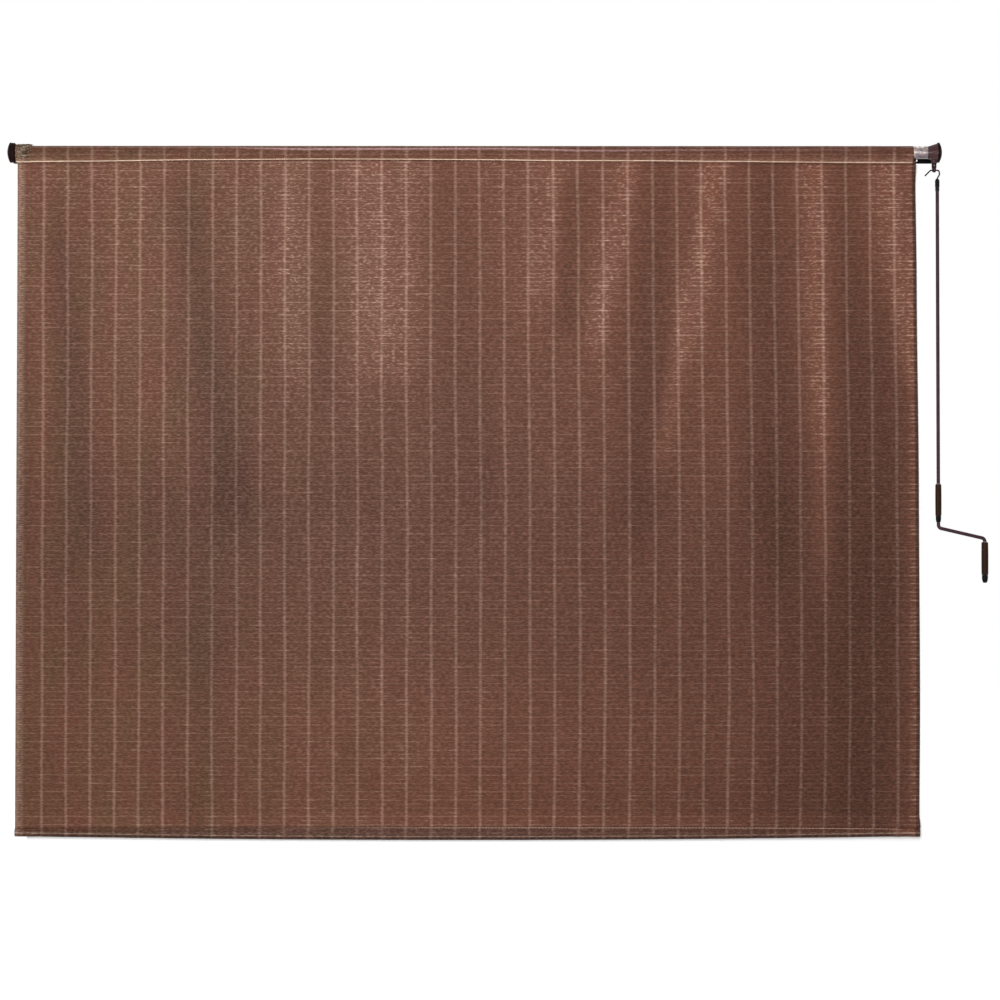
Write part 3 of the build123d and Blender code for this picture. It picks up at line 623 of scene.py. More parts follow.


# %% [markdown]
# ## The cloth's finish
# The real cloth is knitted from flat plastic tape: reddish brown with patches that
# lean to olive, a pale line every 66 mm, and fine cross ribs every 22 mm with fainter
# ones between. The tape is a little glossy, and its glints where the cloth turns are
# painted into its colour as highlights, along with broad painted light and shade. All
# of it is worked out from the cloth's own coordinates, which fold with the cloth.

# %% Knitted shade cloth
STRIPE_HALF = 6.4 * MM
RIB_HALF = 3.0 * MM
STRIPE_WANDER = 8 * MM
RIB_RIPPLE = 2.6 * MM
DASH_LENGTH = 36 * MM
DASH_NEAR = 8 * MM             # glints crowd this close to a stripe
DASH_FAR = 24 * MM
KNIT_RELIEF = 0.45 * MM
KNIT_GLOSS = 0.16
SELVEDGE = 15 * MM
TICK_PITCH = 6.2 * MM
# The curled right edge gets a painted shade:
EDGE_SHADE = 11.5 * MM         # the curled right edge lies in its own shade
EDGE_DARK = 0.55
# Painted highlights: the ribs glint and the cloth is painted lighter along the right edge.
EDGE_RIBS = 34 * MM            # the ribs stand out along the right edge
CLOTH_END = float(woven(panel_high.x))
FLECK_LONG = 11.0 * MM
FLECK_HIGH = 3.4 * MM
CLUMP = 13 * MM
OLIVE_REACH = 1.5              # the cloth leans to olive on its left, and little past here
ROSY = colour(110, 67, 51)
OLIVE = colour(104, 71, 48)
PALE = colour(170, 132, 115)
# Colour of the painted glints and sparkles on the tape.
GLINT = colour(196, 160, 142)
HIGHLIGHT_PALE = colour(238, 208, 184)
HIGHLIGHT_PINK = colour(226, 182, 178)
SELVEDGE_TONE = colour(158, 128, 110)


def from_line(finish, value, pitch):
    """Distance to the nearest of many evenly spaced lines."""
    return finish.add("ShaderNodeMath", {"operation": "PINGPONG"}, {0: value, 1: pitch / 2})


def stripe_mask(knit, cloth, u):
    """Pale chain of yarn that wanders a little and comes and goes."""
    wander = (knit.grain(knit.stretch(cloth, (9, 2.6, 0)), detail=1.0) - 0.5) * STRIPE_WANDER
    line = knit.soft(from_line(knit, u + wander, STRIPE_PITCH), STRIPE_HALF, STRIPE_HALF * 0.15)
    return line * (0.6 + knit.grain(knit.stretch(cloth, (15, 150, 0)), detail=2.0) * 0.8)


def rib_waves(knit, cloth, v):
    """Cross ribs at the full pitch and at half of it, each in broken runs."""
    ripple = (knit.grain(knit.stretch(cloth, (14, 30, 0)), detail=2.0) - 0.5) * RIB_RIPPLE
    full = knit.soft(from_line(knit, v + ripple, RIB_PITCH), RIB_HALF, 0)
    half = knit.soft(from_line(knit, v + ripple, RIB_PITCH / 2), RIB_HALF, 0)
    runs = knit.soft(knit.grain(knit.stretch(cloth, (16, 60, 0)), detail=3.0), 0.38, 0.62)
    return full * (0.5 + runs * 0.5), half * runs


def dash_mask(knit, cloth, u, half_rib, band):
    """Painted glints on some of the ribs, most of them beside a stripe or where the cloth turns to the lamp."""
    cell = knit.stretch(cloth, (1 / DASH_LENGTH, 2 / RIB_PITCH, 0))
    cell = knit.add("ShaderNodeVectorMath", {"operation": "ADD"}, {0: cell, 1: (0.5, 0.5, 0.0)})
    cell = knit.add("ShaderNodeVectorMath", {"operation": "FLOOR"}, {0: cell})
    chance = knit.add("ShaderNodeTexWhiteNoise", {"noise_dimensions": "2D"}, {"Vector": cell})
    beside = knit.soft(from_line(knit, u, STRIPE_PITCH), DASH_FAR, DASH_NEAR)
    chosen = half_rib * knit.soft(chance + band * 0.4, 0.5, 0.95)
    return chosen * (0.35 + beside * 0.65) * (0.3 + band * 0.7)


def edge_tone(knit, tone, u, v, fleck):
    """The pale ticked selvedge on the left."""
    reach = SELVEDGE * 0.35
    serrated = knit.soft(u + (fleck - 0.5) * reach, SELVEDGE + reach, SELVEDGE - reach)
    tick = knit.soft(from_line(knit, v, TICK_PITCH), TICK_PITCH / 2, 0)
    return knit.mix(serrated * (0.15 + tick * (0.25 + fleck * 0.6)), tone, SELVEDGE_TONE)


def cloth_finish():
    """Colour with painted glints and painted light and shade, then gloss and fine relief of the knit."""
    knit = Finish("knitted_cloth", Specular_IOR_Level=KNIT_GLOSS)
    cloth = knit.carried("cloth", "Vector")
    u, v, glint = knit.split(cloth)
    painted_light = knit.carried("tone")
    rubbed = knit.carried("rubbed")
    stripe = stripe_mask(knit, cloth, u)
    rib, half_rib = rib_waves(knit, cloth, v)
    ribs = rib * 0.5 + half_rib * 0.5
    band = knit.soft(glint, -0.3, 0.8)
    dash = dash_mask(knit, cloth, u, half_rib, band)

    patch = knit.soft(knit.grain(knit.stretch(cloth, (11, 4, 0)), detail=3.0), 0.32, 0.68)
    tape = knit.grain(knit.stretch(cloth, (1 / FLECK_LONG, 1 / FLECK_HIGH, 0)), detail=1.0)
    clump = knit.grain(knit.stretch(cloth, (1 / CLUMP, 1 / CLUMP, 0)), detail=3.0, twist=0.5)
    fleck = knit.soft(tape * 0.65 + clump * 0.35, 0.38, 0.62)
    painted_sparkle = knit.soft(tape * 0.7 + clump * 0.3, 0.54, 0.68) * (0.1 + band * 0.9)
    from_edge = CLOTH_END - u
    edge_glint = knit.soft(from_edge, EDGE_RIBS, EDGE_RIBS * 0.7)

    tone = knit.mix(patch * knit.soft(u, OLIVE_REACH, 0.3) * 0.8 + 0.05, ROSY, OLIVE)
    tone = knit.mix(stripe * 0.46 + ribs * (0.3 + edge_glint * 0.6), tone, PALE)
    # Painted highlights: glints on some ribs, and sparkles where the folds turn to the lamp.
    tone = knit.mix(dash * 0.5 + painted_sparkle * 0.37, tone, GLINT)
    tone = edge_tone(knit, tone, u, v, fleck)
    # Painted highlights: pale where the level is above zero, pink where it is below.
    tone = knit.mix(rubbed, tone, HIGHLIGHT_PALE)
    tone = knit.mix(rubbed * -1, tone, HIGHLIGHT_PINK)
    # Painted shade: the curled right edge is darkened in the colour.
    painted_edge_shade = knit.soft(from_edge, EDGE_SHADE * 1.3, EDGE_SHADE * 0.9)
    # Painted light and shade: the glint and light levels make the colour lighter or darker.
    shade = 0.70 + fleck * 0.40 + (glint + painted_light) * 0.22 + band * 0.06 + edge_glint * 0.08
    knit.set("Base Color", knit.scale(tone, shade * (1 - painted_edge_shade * EDGE_DARK)))
    knit.set("Roughness", 0.6 - fleck * 0.12 - ribs * 0.06 - band * 0.1)
    knit.bump(ribs * 0.6 + dash * 0.4 + fleck * 0.8 + stripe * 0.3, KNIT_RELIEF)
    return knit.material


cloth_material = cloth_finish()
print("stripes across the cloth", int(cloth_width / STRIPE_PITCH))

# %% [markdown]
# ## The panel
# The panel is a grid of points: about 22 mm apart across, closer at the curled right
# edge, and four rows to each rib, so that the ribs are real ridges and not only paint.
# Fold depth fades to nothing where the cloth leaves the roll and where the bar holds it.
# Its upper folds stand back a little, to clear the roll when the shade is up. On the
# right the fold slopes set painted glints where the cloth turns to the lamp, and on the
# left, which has hung smoother, the same slopes only paint light and shade, making the cloth lighter or darker.

# %% Weave the panel
ROWS_PER_RIB = 4
RIB_HEIGHT = 0.35 * MM
PANEL_COLUMNS = 108
CURL_COLUMNS = 6
CURL_WIDTH = 10 * MM
CURL_DEPTH = 6.5 * MM
CURL_TUCK = 2.2 * MM
CURL_TOP = 0.1                 # it grows over this height below the roll
CURL_FOOT = 0.02               # and goes over this share of the drop above the hem
HEM_EASE = 0.10
TOP_LEAN = 1.1 * MM
TOP_LEAN_REACH = 40 * MM
RAISED_ROOM = 2.2 * MM         # the upper folds stand back, to clear the roll when the shade is up
RAISED_TOP = 0.11              # over this height below the roller it comes in
RAISED_FOOT = 0.85             # and by this depth it has gone
RAISED_FADE = 0.4
RAISED_SIDE = 0.08
FULL_SLOPE = 0.07              # a fold this steep glints fully
GLINT_UNEVEN = 0.25
SEAM_GLOW = 0.45
SEAM_GLOW_AT = 0.975           # share of the drop
SEAM_GLOW_EASE = 0.012
# Painted light just below the roll, where the roll's shade falls on the cloth.
ROLL_GLOW = 0.6
ROLL_GLOW_REACH = 55 * MM
GLINT_LEFT = 0.25              # the share of a fold's light that glints on the left
GLINT_SPREAD = (-0.95, 0.6)    # where that share starts to grow, and over what width
RIGHTWARDS = (-0.2, 1.3)       # and the same for the tones of the right
GLINT_DOWN = [(0.0, 0.12), (0.3, -0.05), (0.6, -0.3), (1.0, -0.2)]
# Painted light and shade down the cloth, by share of the drop, on the left and on the right.
PAINTED_LIGHT_LEFT = [
    (0.00, 0.20), (0.15, 0.00), (0.40, -0.38), (0.55, -0.70), (0.70, -0.50), (0.85, -0.02), (1.00, 0.04),
]
PAINTED_LIGHT_RIGHT = [
    (0.00, 0.30), (0.15, 0.08), (0.40, -0.12), (0.55, -0.38), (0.70, -0.54), (0.85, -0.48), (1.00, -0.60),
]


def panel_columns():
    """Distances across the cloth, closer together at the curled edge."""
    plain = np.linspace(0, cloth_width - CURL_WIDTH, PANEL_COLUMNS, endpoint=False)
    return np.concatenate([plain, np.linspace(cloth_width - CURL_WIDTH, cloth_width, CURL_COLUMNS)])


def panel_depth(x, z, u, share):
    """Front to back place of the panel's surface, and how far its right edge has curled."""
    held = smooth(-z / TOP_EASE) * smooth((1 - share) / HEM_EASE)
    depth = fold_depth(x, z) * held
    curl = smooth((u - cloth_width + CURL_WIDTH) / CURL_WIDTH)
    curl = curl * smooth(-z / CURL_TOP) * smooth((1 - share) / CURL_FOOT)
    ridge = np.maximum(np.cos(2 * math.pi * z / RIB_PITCH), 0) ** 2 * RIB_HEIGHT
    lean = TOP_LEAN * smooth(1 + z / TOP_LEAN_REACH)
    back = RAISED_ROOM * smooth(-z / RAISED_TOP) * smooth((RAISED_FOOT + z) / RAISED_FADE)
    back = back * smooth((cloth_width - u) / RAISED_SIDE)
    return cloth_y - depth - ridge - lean + back + curl * CURL_DEPTH, curl


def panel_light(x, z, share):
    """How strongly each point's painted glint shows, and how much painted light or shade it gets."""
    lustre = np.clip(fold_slopes(x, z) / FULL_SLOPE, -1, 1)
    lustre = lustre + GLINT_UNEVEN * wobble(x, z * 0.2, 0.05, 8.0)
    rightwards = smooth((x - RIGHTWARDS[0]) / RIGHTWARDS[1])
    tone = line_through(PAINTED_LIGHT_LEFT, share) * (1 - rightwards)
    tone += line_through(PAINTED_LIGHT_RIGHT, share) * rightwards
    tone += SEAM_GLOW * smooth((share - SEAM_GLOW_AT) / SEAM_GLOW_EASE)
    tone += ROLL_GLOW * hill(z, ROLL_GLOW_REACH)
    spread = GLINT_LEFT + (1 - GLINT_LEFT) * smooth((x - GLINT_SPREAD[0]) / GLINT_SPREAD[1])
    return lustre * spread + line_through(GLINT_DOWN, share), tone + lustre * (1 - spread)


def panel_points():
    """Middle surface of the panel, and its flat coordinates with painted glint and painted light and shade."""
    across = panel_columns()
    count = int(round(cloth_drop / RIB_PITCH * ROWS_PER_RIB))
    share = np.linspace(0, 1, count + 1)[:, None]
    u, share = np.broadcast_arrays(across[None, :], share)
    x = cloth_left + u
    z = share * seam_z(x)
    y, curl = panel_depth(x, z, u, share)
    pulled = x + edge_shift(z) * smooth(u / cloth_width) - curl * CURL_TUCK
    glint, tone = panel_light(x, z, share)
    return np.stack([pulled, y, z], axis=-1), np.stack([woven(x), -z, glint, tone], axis=-1)


points, flat = panel_points()
panel = cloth_sheet("hanging_cloth", points, flat, "mounting", cloth_material)
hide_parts("fabric_panel")
print("panel", points.shape, "y from", round(points[..., 1].min(), 4), "to", round(points[..., 1].max(), 4))

# %% [markdown]
# ## The roll
# With the shade down, a couple of loose turns stay on the tube. They lie tight on top
# and sag below it, and the outermost one is creased along its lowest edge, where a
# thin pale line is painted on as a highlight. Written as a spiral in polar form: the cloth
# starts behind the roller, where the panel hangs, and runs up over the top, down the
# front and round inwards.

# %% Wind the roll
TURNS = 2.2
ROWS_PER_TURN = 90
ROLL_COLUMNS = 124
ROLL_UNDER = 0.3 * MM          # the inner turns lie tight on the tube
ROLL_TIGHT = 0.7 * MM
ROLL_BUILD = 0.8 * MM          # the left is built up, and the right has lost most of it
BUILD_LOSS = 0.85
BUILD_FALL = (-0.9, 1.6)       # where the loss starts, and over what width
ROLL_SAG = 4.4 * MM
LOOSE_TURNS = 1.2
LOOSE_EASE = 0.22
CREASE_ANGLE = 166.0
CREASE_SPREAD = 34.0
CREASE_PINCH = 4.0
CREASE_TUCK = 50.0             # behind the crease nothing hangs lower than it
CREASE_LIP = 1.0 * MM
CREASE_HIGHLIGHT = 6.5
ROLL_GLINT = -0.1
ROLL_UNEVEN = 0.25 * MM
DENT_ANGLE = 84.0
DENT_SPREAD = 15.0
DENT = 1.5 * MM
CREASE_DROP = [
    (-1.24, 25.1), (-1.07, 23.9), (-0.74, 19.2), (-0.40, 17.0), (-0.20, 17.8), (0.02, 19.3),
    (0.25, 22.1), (0.45, 22.4), (0.70, 24.6), (1.00, 27.6), (1.18, 27.8),
]
# Painted light and shade round the roll, by angle: lighter on top, darker at the dent, brightest at the crease.
ROLL_PAINTED_SHADING = [
    (0, 0.6), (18, 0.8), (38, 0.5), (58, -0.1), (75, -0.3), (100, -0.1), (122, 0.2), (142, 0.7),
    (156, 1.6), (166, 3.0), (186, 3.4), (200, 1.5), (225, -0.8), (300, -0.4), (360, 0.6),
]
# Painted pink highlight along the roll's upper front: its angle along the roller, then its strength.
PINK_HIGHLIGHT_LINE = [
    (-1.24, 48.0), (-0.70, 52.0), (-0.45, 66.0), (-0.25, 64.0), (0.05, 62.0), (0.33, 80.0), (0.60, 74.0),
    (1.18, 66.0),
]
PINK_HIGHLIGHT_LEVEL = [
    (-1.24, 0.10), (-0.75, 0.22), (-0.45, 0.75), (0.10, 0.70), (0.35, 0.50), (0.70, 0.22), (1.18, 0.08),
]
PINK_HIGHLIGHT_SPREAD = 8.0
TOP_SHEEN = 0.05                # painted sheen, a little over all its upper side
# A faint painted highlight on the roll's lower front:
FOOT_HIGHLIGHT = 0.05
TOP_SHEEN_AT = (20, 26)         # middle and half width of the painted sheen, in degrees
FOOT_HIGHLIGHT_AT = (142, 12)
RIGHT_SIDE = 0.1               # from here to the right the roll is darker and its painted crease highlight weaker
ROLL_SHRINK = 0.0052           # the wound stripes lie this much closer together
THICK_END = 42 * MM
THICK_EASE = THICK_END * 0.06
THICK_COLUMNS = 16
THICK_RISE = 3.6 * MM
THICK_TOP = math.radians(40)
TELESCOPE = 1.6 * MM
TELESCOPE_REACH = 0.1
TELESCOPE_TURN = 57.0          # degrees of winding to one radian of its sway


def roll_grid():
    """Place along the roller and number of turns for each point of the wound cloth."""
    plain = np.linspace(roll_low.x + THICK_END, roll_high.x, ROLL_COLUMNS)
    end = np.linspace(roll_low.x, roll_low.x + THICK_END * 0.97, THICK_COLUMNS, endpoint=False)
    turn = np.linspace(0, 1, int(TURNS * ROWS_PER_TURN) + 1)[:, None] * TURNS
    return np.broadcast_arrays(np.concatenate([end, plain])[None, :], turn)


def upper_side(radians):
    """1 on the roll's upper front, 0 on the far side from it."""
    return 0.5 + 0.5 * np.cos(radians - THICK_TOP)


def creased(x, radius, radians, round_angle):
    """The radius with its crease, and with nothing lower than the crease behind it."""
    middle = math.cos(math.radians(CREASE_ANGLE))
    crease = line_through(CREASE_DROP, x) * MM / -middle
    away = round_angle - CREASE_ANGLE
    radius = radius + (crease - radius) * hill(away, CREASE_SPREAD)
    behind = np.abs(away - CREASE_TUCK / 2) < CREASE_TUCK / 2
    level = crease * middle / np.minimum(np.cos(radians), -0.5)
    return np.where(behind, np.minimum(radius, level), radius)


def roll_radius(x, radians, round_angle, outer, loose):
    """Distance from the roller's axis: the outermost turn sags and is creased and dented."""
    sag = ROLL_SAG * outer ** 2 * (1 - np.cos(radians)) / 2
    build = ROLL_BUILD * outer * (1 - BUILD_LOSS * smooth((x - BUILD_FALL[0]) / BUILD_FALL[1]))
    radius = creased(x, tube_r + ROLL_TIGHT + build + sag, radians, round_angle)
    uneven = 0.75 + 0.25 * wobble(x, 0.0, 0.2, 5.0)
    radius -= DENT * hill(round_angle - DENT_ANGLE, DENT_SPREAD) * uneven
    radius += ROLL_UNEVEN * wobble(x, round_angle / 90, 0.09, 6.0)
    lip = CREASE_LIP * hill(round_angle - CREASE_ANGLE, CREASE_PINCH)
    radius = np.maximum(radius, tube_r + ROLL_TIGHT) + lip
    radius = radius * loose + (tube_r + ROLL_UNDER) * (1 - loose)
    thick = smooth((roll_low.x + THICK_END - x) / THICK_EASE)
    frayed = 1 + 0.22 * wobble(x, round_angle / 20, 0.012, 9.0)
    return radius + thick * THICK_RISE * upper_side(radians) * frayed * outer


def roll_highlights(x, round_angle, loose):
    """How strong the painted highlights are: pale along the crease and on top, and below zero a painted pink
    highlight.
    """
    wear_and_highlight = hill(round_angle - CREASE_ANGLE + 2, CREASE_HIGHLIGHT)
    wear_and_highlight = loose * wear_and_highlight * (1.0 - 0.3 * smooth((x - RIGHT_SIDE) / 1.0))
    for level, (middle, width) in ((TOP_SHEEN, TOP_SHEEN_AT), (FOOT_HIGHLIGHT, FOOT_HIGHLIGHT_AT)):
        wear_and_highlight += level * hill(round_angle - middle, width)
    pink_highlight = hill(round_angle - line_through(PINK_HIGHLIGHT_LINE, x), PINK_HIGHLIGHT_SPREAD)
    return wear_and_highlight - line_through(PINK_HIGHLIGHT_LEVEL, x) * pink_highlight


def roll_points():
    """Middle surface of the wound cloth, its flat coordinates and its painted highlights."""
    x, turn = roll_grid()
    angle = 270 + 360 * turn
    radians = np.radians(angle)
    round_angle = np.mod(angle, 360)
    loose = smooth((LOOSE_TURNS - turn) / LOOSE_EASE)
    radius = roll_radius(x, radians, round_angle, 1 - turn / TURNS, loose)
    sway = np.sin(angle / TELESCOPE_TURN)
    slid = TELESCOPE * sway * smooth((x - roll_high.x + TELESCOPE_REACH) / TELESCOPE_REACH)
    arc = -turn * 2 * math.pi * (tube_r + ROLL_SAG / 2)
    tone = line_through(ROLL_PAINTED_SHADING, round_angle) + 0.3 * wobble(x, arc, 0.1, 4.0)
    tone -= 0.3 * smooth((x - RIGHT_SIDE) / 0.7)
    y = axis_y - radius * np.sin(radians)
    points = np.stack([x + slid, y, radius * np.cos(radians)], axis=-1)
    across = woven(x + (x - CAMERA_SPOT[0]) * ROLL_SHRINK)
    flat = np.stack([across, arc, 0 * x + ROLL_GLINT, tone], axis=-1)
    return points, flat, roll_highlights(x, round_angle, loose)


points, flat, wear_and_highlight = roll_points()
roll = cloth_sheet("wound_cloth", points, flat, "roller", cloth_material, wear_and_highlight)
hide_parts("fabric_roll")
print("roll", points.shape, "lowest", round(points[..., 2].min(), 4), "top", round(points[..., 2].max(), 4))

# %% [markdown]
# ## The hem
# The foot of the cloth is sewn into a sleeve around the weight bar. Its section is a
# drop: two straight sides from the seam to the bar and an arc around it, and behind
# the panel the turned-up edge of the cloth stands a little above the seam. The sleeve
# follows the bar's bow, and near the ends it is pulled into small puckers, most of
# all at the lower right.

# %% Sew the hem
HEM_COLUMNS = 260
SIDE_ROWS = 7
ARC_ROWS = 40
HEM_SLACK = 0.5 * MM
FLAP = 2.5 * MM                # the turned-up edge, which stands behind the panel above the seam
FLAP_BEHIND = 0.9 * MM
PUCKER_PITCH = 9 * MM
PUCKER_REACH = 90 * MM
PUCKER_DEPTH = 1.8 * MM
PUCKER_GLINT = 2.2
HEM_UNEVEN = 0.3 * MM
STEEPEST = 0.97                # keeps the drop's sides apart where the seam is low
HEM_DARK = 1.5
# Painted shade under the bar:
UNDER_BAR_SHADE = 1.0               # darker still under the bar
UNDER_EDGE = (8, 14)           # from this bearing below the front, and over how many degrees
HEM_HIGHLIGHT_ANGLE = 0.0                # a painted highlight along the sleeve's front
HEM_HIGHLIGHT_SPREAD = 7.0
HEM_HIGHLIGHT_LEVEL = 0.6
SEAM_HALF = CLOTH_THICKNESS * 0.55
SIDE_BEARING = 90              # bearings round the bar: the front side, and all that lies behind
BACK_BEARING = -200


def hem_section(x):
    """Radius of the sleeve round the bar, the seam's height over the bar, and the sides' lean."""
    radius = bar_r + HEM_SLACK
    peak = seam_z(x) - bar_height(x)
    return radius, peak, np.arcsin(np.clip(radius / peak, 0, STEEPEST))


def hem_side(x, share):
    """How far out and how high a straight side lies, from the seam at 0 to the bar at 1."""
    radius, peak, lean = hem_section(x)
    out = SEAM_HALF * (1 - share) + radius * np.cos(lean) * share
    return out, peak * (1 - share) + radius * np.sin(lean) * share


def hem_rows(x):
    """Rows round the drop: back and up from the bar's middle, bearing, and freedom to pucker."""
    radius, peak, lean = hem_section(x)
    sides = np.linspace(0, 1, SIDE_ROWS, endpoint=False)
    rows = []
    for share in sides:
        out, up = hem_side(x, share)
        rows.append((-out, up, 0 * x + SIDE_BEARING, 0 * x + share))
    for share in np.linspace(0, 1, ARC_ROWS):
        angle = lean - (math.pi + 2 * lean) * share
        rows.append((-radius * np.cos(angle), radius * np.sin(angle), np.degrees(angle), 0 * x + 1))
    for share in sides[::-1]:
        rows.append((*hem_side(x, share), 0 * x + BACK_BEARING, 0 * x + share))
    flap = -cloth_drop + FLAP - bar_height(x)
    for share in (0.3, 1.0):
        rows.append((0 * x + FLAP_BEHIND, peak + (flap - peak) * share, 0 * x + BACK_BEARING, 0 * x))
    return np.array(rows).transpose(1, 0, 2)


def hem_points():
    """Middle surface of the sleeve, its flat coordinates and its painted highlight."""
    x = np.linspace(hem_low.x, hem_high.x, HEM_COLUMNS)
    y, z, bearing, free = hem_rows(x)
    x = np.broadcast_to(x, y.shape)
    end = np.minimum(x - hem_low.x, (hem_high.x - x) * 0.8)
    pucker = 0.5 + 0.5 * np.sin(2 * math.pi * x / PUCKER_PITCH + 4 * wobble(x, z, 0.03, 2.0))
    pucker = pucker * free * hill(end, PUCKER_REACH) * PUCKER_DEPTH * np.where(x > 0, 1.0, 0.5)
    outwards = unit(np.stack([y, z], axis=-1))
    swell = pucker + HEM_UNEVEN * wobble(x, z, 0.05, 7.0) * np.minimum(free * 3, 1)
    y = y + outwards[..., 0] * swell
    z = z + outwards[..., 1] * swell
    steps = np.hypot(np.diff(y, axis=0), np.diff(z, axis=0))
    arc = np.concatenate([np.zeros((1, y.shape[1])), np.cumsum(steps, axis=0)])
    points = np.stack([x, cloth_y + y, bar_height(x) + z], axis=-1)
    tone = 0.2 * wobble(x, arc, 0.08, 1.0) - HEM_DARK
    tone -= UNDER_BAR_SHADE * smooth((-bearing - UNDER_EDGE[0]) / UNDER_EDGE[1])
    glint = PUCKER_GLINT * pucker / PUCKER_DEPTH
    wear_and_highlight = HEM_HIGHLIGHT_LEVEL * hill(bearing - HEM_HIGHLIGHT_ANGLE, HEM_HIGHLIGHT_SPREAD) * (0.7 + 0.5 * wobble(x, 0 * x, 0.03, 3.0))
    return points, np.stack([woven(x), cloth_drop + arc, glint, tone], axis=-1), np.clip(wear_and_highlight, 0, 1)


points, flat, wear_and_highlight = hem_points()
hem = cloth_sheet("sewn_hem", points, flat, "bottom_rail", cloth_material, wear_and_highlight)
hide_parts("hem_pocket")
print("hem", points.shape, "lowest", round(points[..., 2].min(), 4))

# %% [markdown]
# ## Bar and seam
# The weight bar inside the sleeve bows with it, so it is drawn again as a tube that
# follows the same curve. The seam above it is a row of stitches on each face, pale on
# the right and stained on the left, and each one is a short rounded bead of thread.

# %% Bend the bar and stitch the seam
BAR_WALL = 1.2 * MM
BAR_COLUMNS = 80
BAR_SIDES = 32
STITCH_PITCH = 9.0 * MM
STITCH_LENGTH = 8.7 * MM
STITCH_R = 0.85 * MM
STITCH_DROP = 3.2 * MM
THREAD = colour(206, 170, 150)
THREAD_DARK = colour(112, 70, 56)
THREAD_STAINED = (-0.6, 0.1)   # stained up to the first place, pale from the second
TIP_THIN = 0.45


def new_piece(name, points, faces, body, finish, slot):
    """A smooth mesh piece that rides on a body."""
    return riding(name, smooth_mesh(name, points, faces, finish), body)


def circle(sides):
    """Cosine and sine of evenly spaced angles round a circle."""
    turns = [2 * math.pi * side / sides for side in range(sides)]
    return [(math.cos(turn), math.sin(turn)) for turn in turns]


def ring_faces(rings, sides):
    """Faces between neighbouring rings of points."""
    faces = []
    for low in range(0, (rings - 1) * sides, sides):
        for side in range(sides):
            after = (side + 1) % sides
            faces.append((low + side, low + after, low + sides + after, low + sides + side))
    return faces


def closed_faces(rings, sides):
    """The same faces, and one more to close each end."""
    last = (rings - 1) * sides
    return [*ring_faces(rings, sides), tuple(range(sides))[::-1], tuple(range(last, last + sides))]


def bar_points():
    """Rings along the bar: out along its outside, back along its bore, and round again."""
    along = np.linspace(bar_low.x, bar_high.x, BAR_COLUMNS)
    route = [(x, bar_r) for x in along] + [(x, bar_r - BAR_WALL) for x in along[::-1]]
    points = []
    for x, radius in route + route[:1]:
        middle = float(bar_height(x))
        points += [(x, cloth_y + radius * cos, middle + radius * sin) for cos, sin in circle(BAR_SIDES)]
    return points, ring_faces(len(route) + 1, BAR_SIDES)


def strand(route, radius, sides=6):
    """Points and faces of a thin thread along a few points, with closed tips."""
    points = []
    for i, spot in enumerate(route):
        ahead = (route[min(i + 1, len(route) - 1)] - route[max(i - 1, 0)]).normalized()
        across = ahead.orthogonal().normalized()
        other = ahead.cross(across)
        thin = radius * (TIP_THIN if i in (0, len(route) - 1) else 1.0)
        points += [tuple(spot + across * thin * cos + other * thin * sin) for cos, sin in circle(sides)]
    return points, closed_faces(len(route), sides)


def bundle(strands):
    """Several strands as one list of points and faces."""
    points, faces = [], []
    for more_points, more_faces in strands:
        faces += [tuple(index + len(points) for index in face) for face in more_faces]
        points += more_points
    return points, faces


def stitch_spot(x, sign):
    """A point on the sleeve's face, a little below its top."""
    radius, peak, lean = hem_section(x)
    out, _ = hem_side(x, STITCH_DROP / (peak - radius * np.sin(lean)))
    out += CLOTH_THICKNESS / 2 + STITCH_R * 0.3
    return Vector((x, cloth_y + sign * out, seam_z(x) - STITCH_DROP))


def stitches():
    """One bead of thread for each stitch, on both faces of the seam."""
    rows = []
    for sign in (-1, 1):
        x = hem_low.x + STITCH_PITCH
        while x < hem_high.x - STITCH_PITCH:
            half = STITCH_LENGTH / 2
            route = [stitch_spot(x + step * half, sign) for step in (-1, -0.6, 0, 0.6, 1)]
            for tip in (route[0], route[-1]):
                tip.y -= sign * STITCH_R * 0.8
            rows.append(strand(route, STITCH_R))
            x += STITCH_PITCH
    return bundle(rows)


def thread_finish():
    """Twisted thread, pale on the right and stained on the left."""
    thread = Finish("seam_thread", Specular_IOR_Level=0.3)
    twist = thread.grain(thread.stretch(thread.place(), (900, 300, 300)), detail=2.0)
    along, _, _ = thread.split(thread.place())
    tone = thread.mix(thread.soft(along, *THREAD_STAINED), THREAD_DARK, THREAD)
    thread.set("Base Color", thread.scale(tone, 0.75 + twist * 0.5))
    thread.set("Roughness", 0.45 + twist * 0.2)
    return thread.material


seam = new_piece("seam_stitches", *stitches(), "bottom_rail", thread_finish(), "shade_cloth")
print("stitches", len(seam.data.polygons), "faces")

# %% [markdown]
# ## The frayed end
# At the idler end the edge of the cloth has bunched up on the tube and frayed. Many
# loose strands of tape lie over the thick end and fan out from it. Their places come
# from a seeded random draw, so every run makes the same ones.

# %% Fray the idler end
FRAY_COUNT = 170
FRAY_R = 0.55 * MM
FRAY_ABOVE = 0.7 * MM
FRAY_SIDES = 5
FRAY_STEPS = 5
FRAY_SEED = 7
FRAY_START = (0.5, 30)         # least and most, in millimetres and degrees
FRAY_LENGTH = (9, 20)
FRAY_ANGLE = (-20, 150)
FRAY_SLANT = (10, 55)
FRAY_LIFT = (0.1, 0.9)
FRAY_DARK = colour(70, 50, 40)
FRAY_TONE = colour(192, 170, 144)


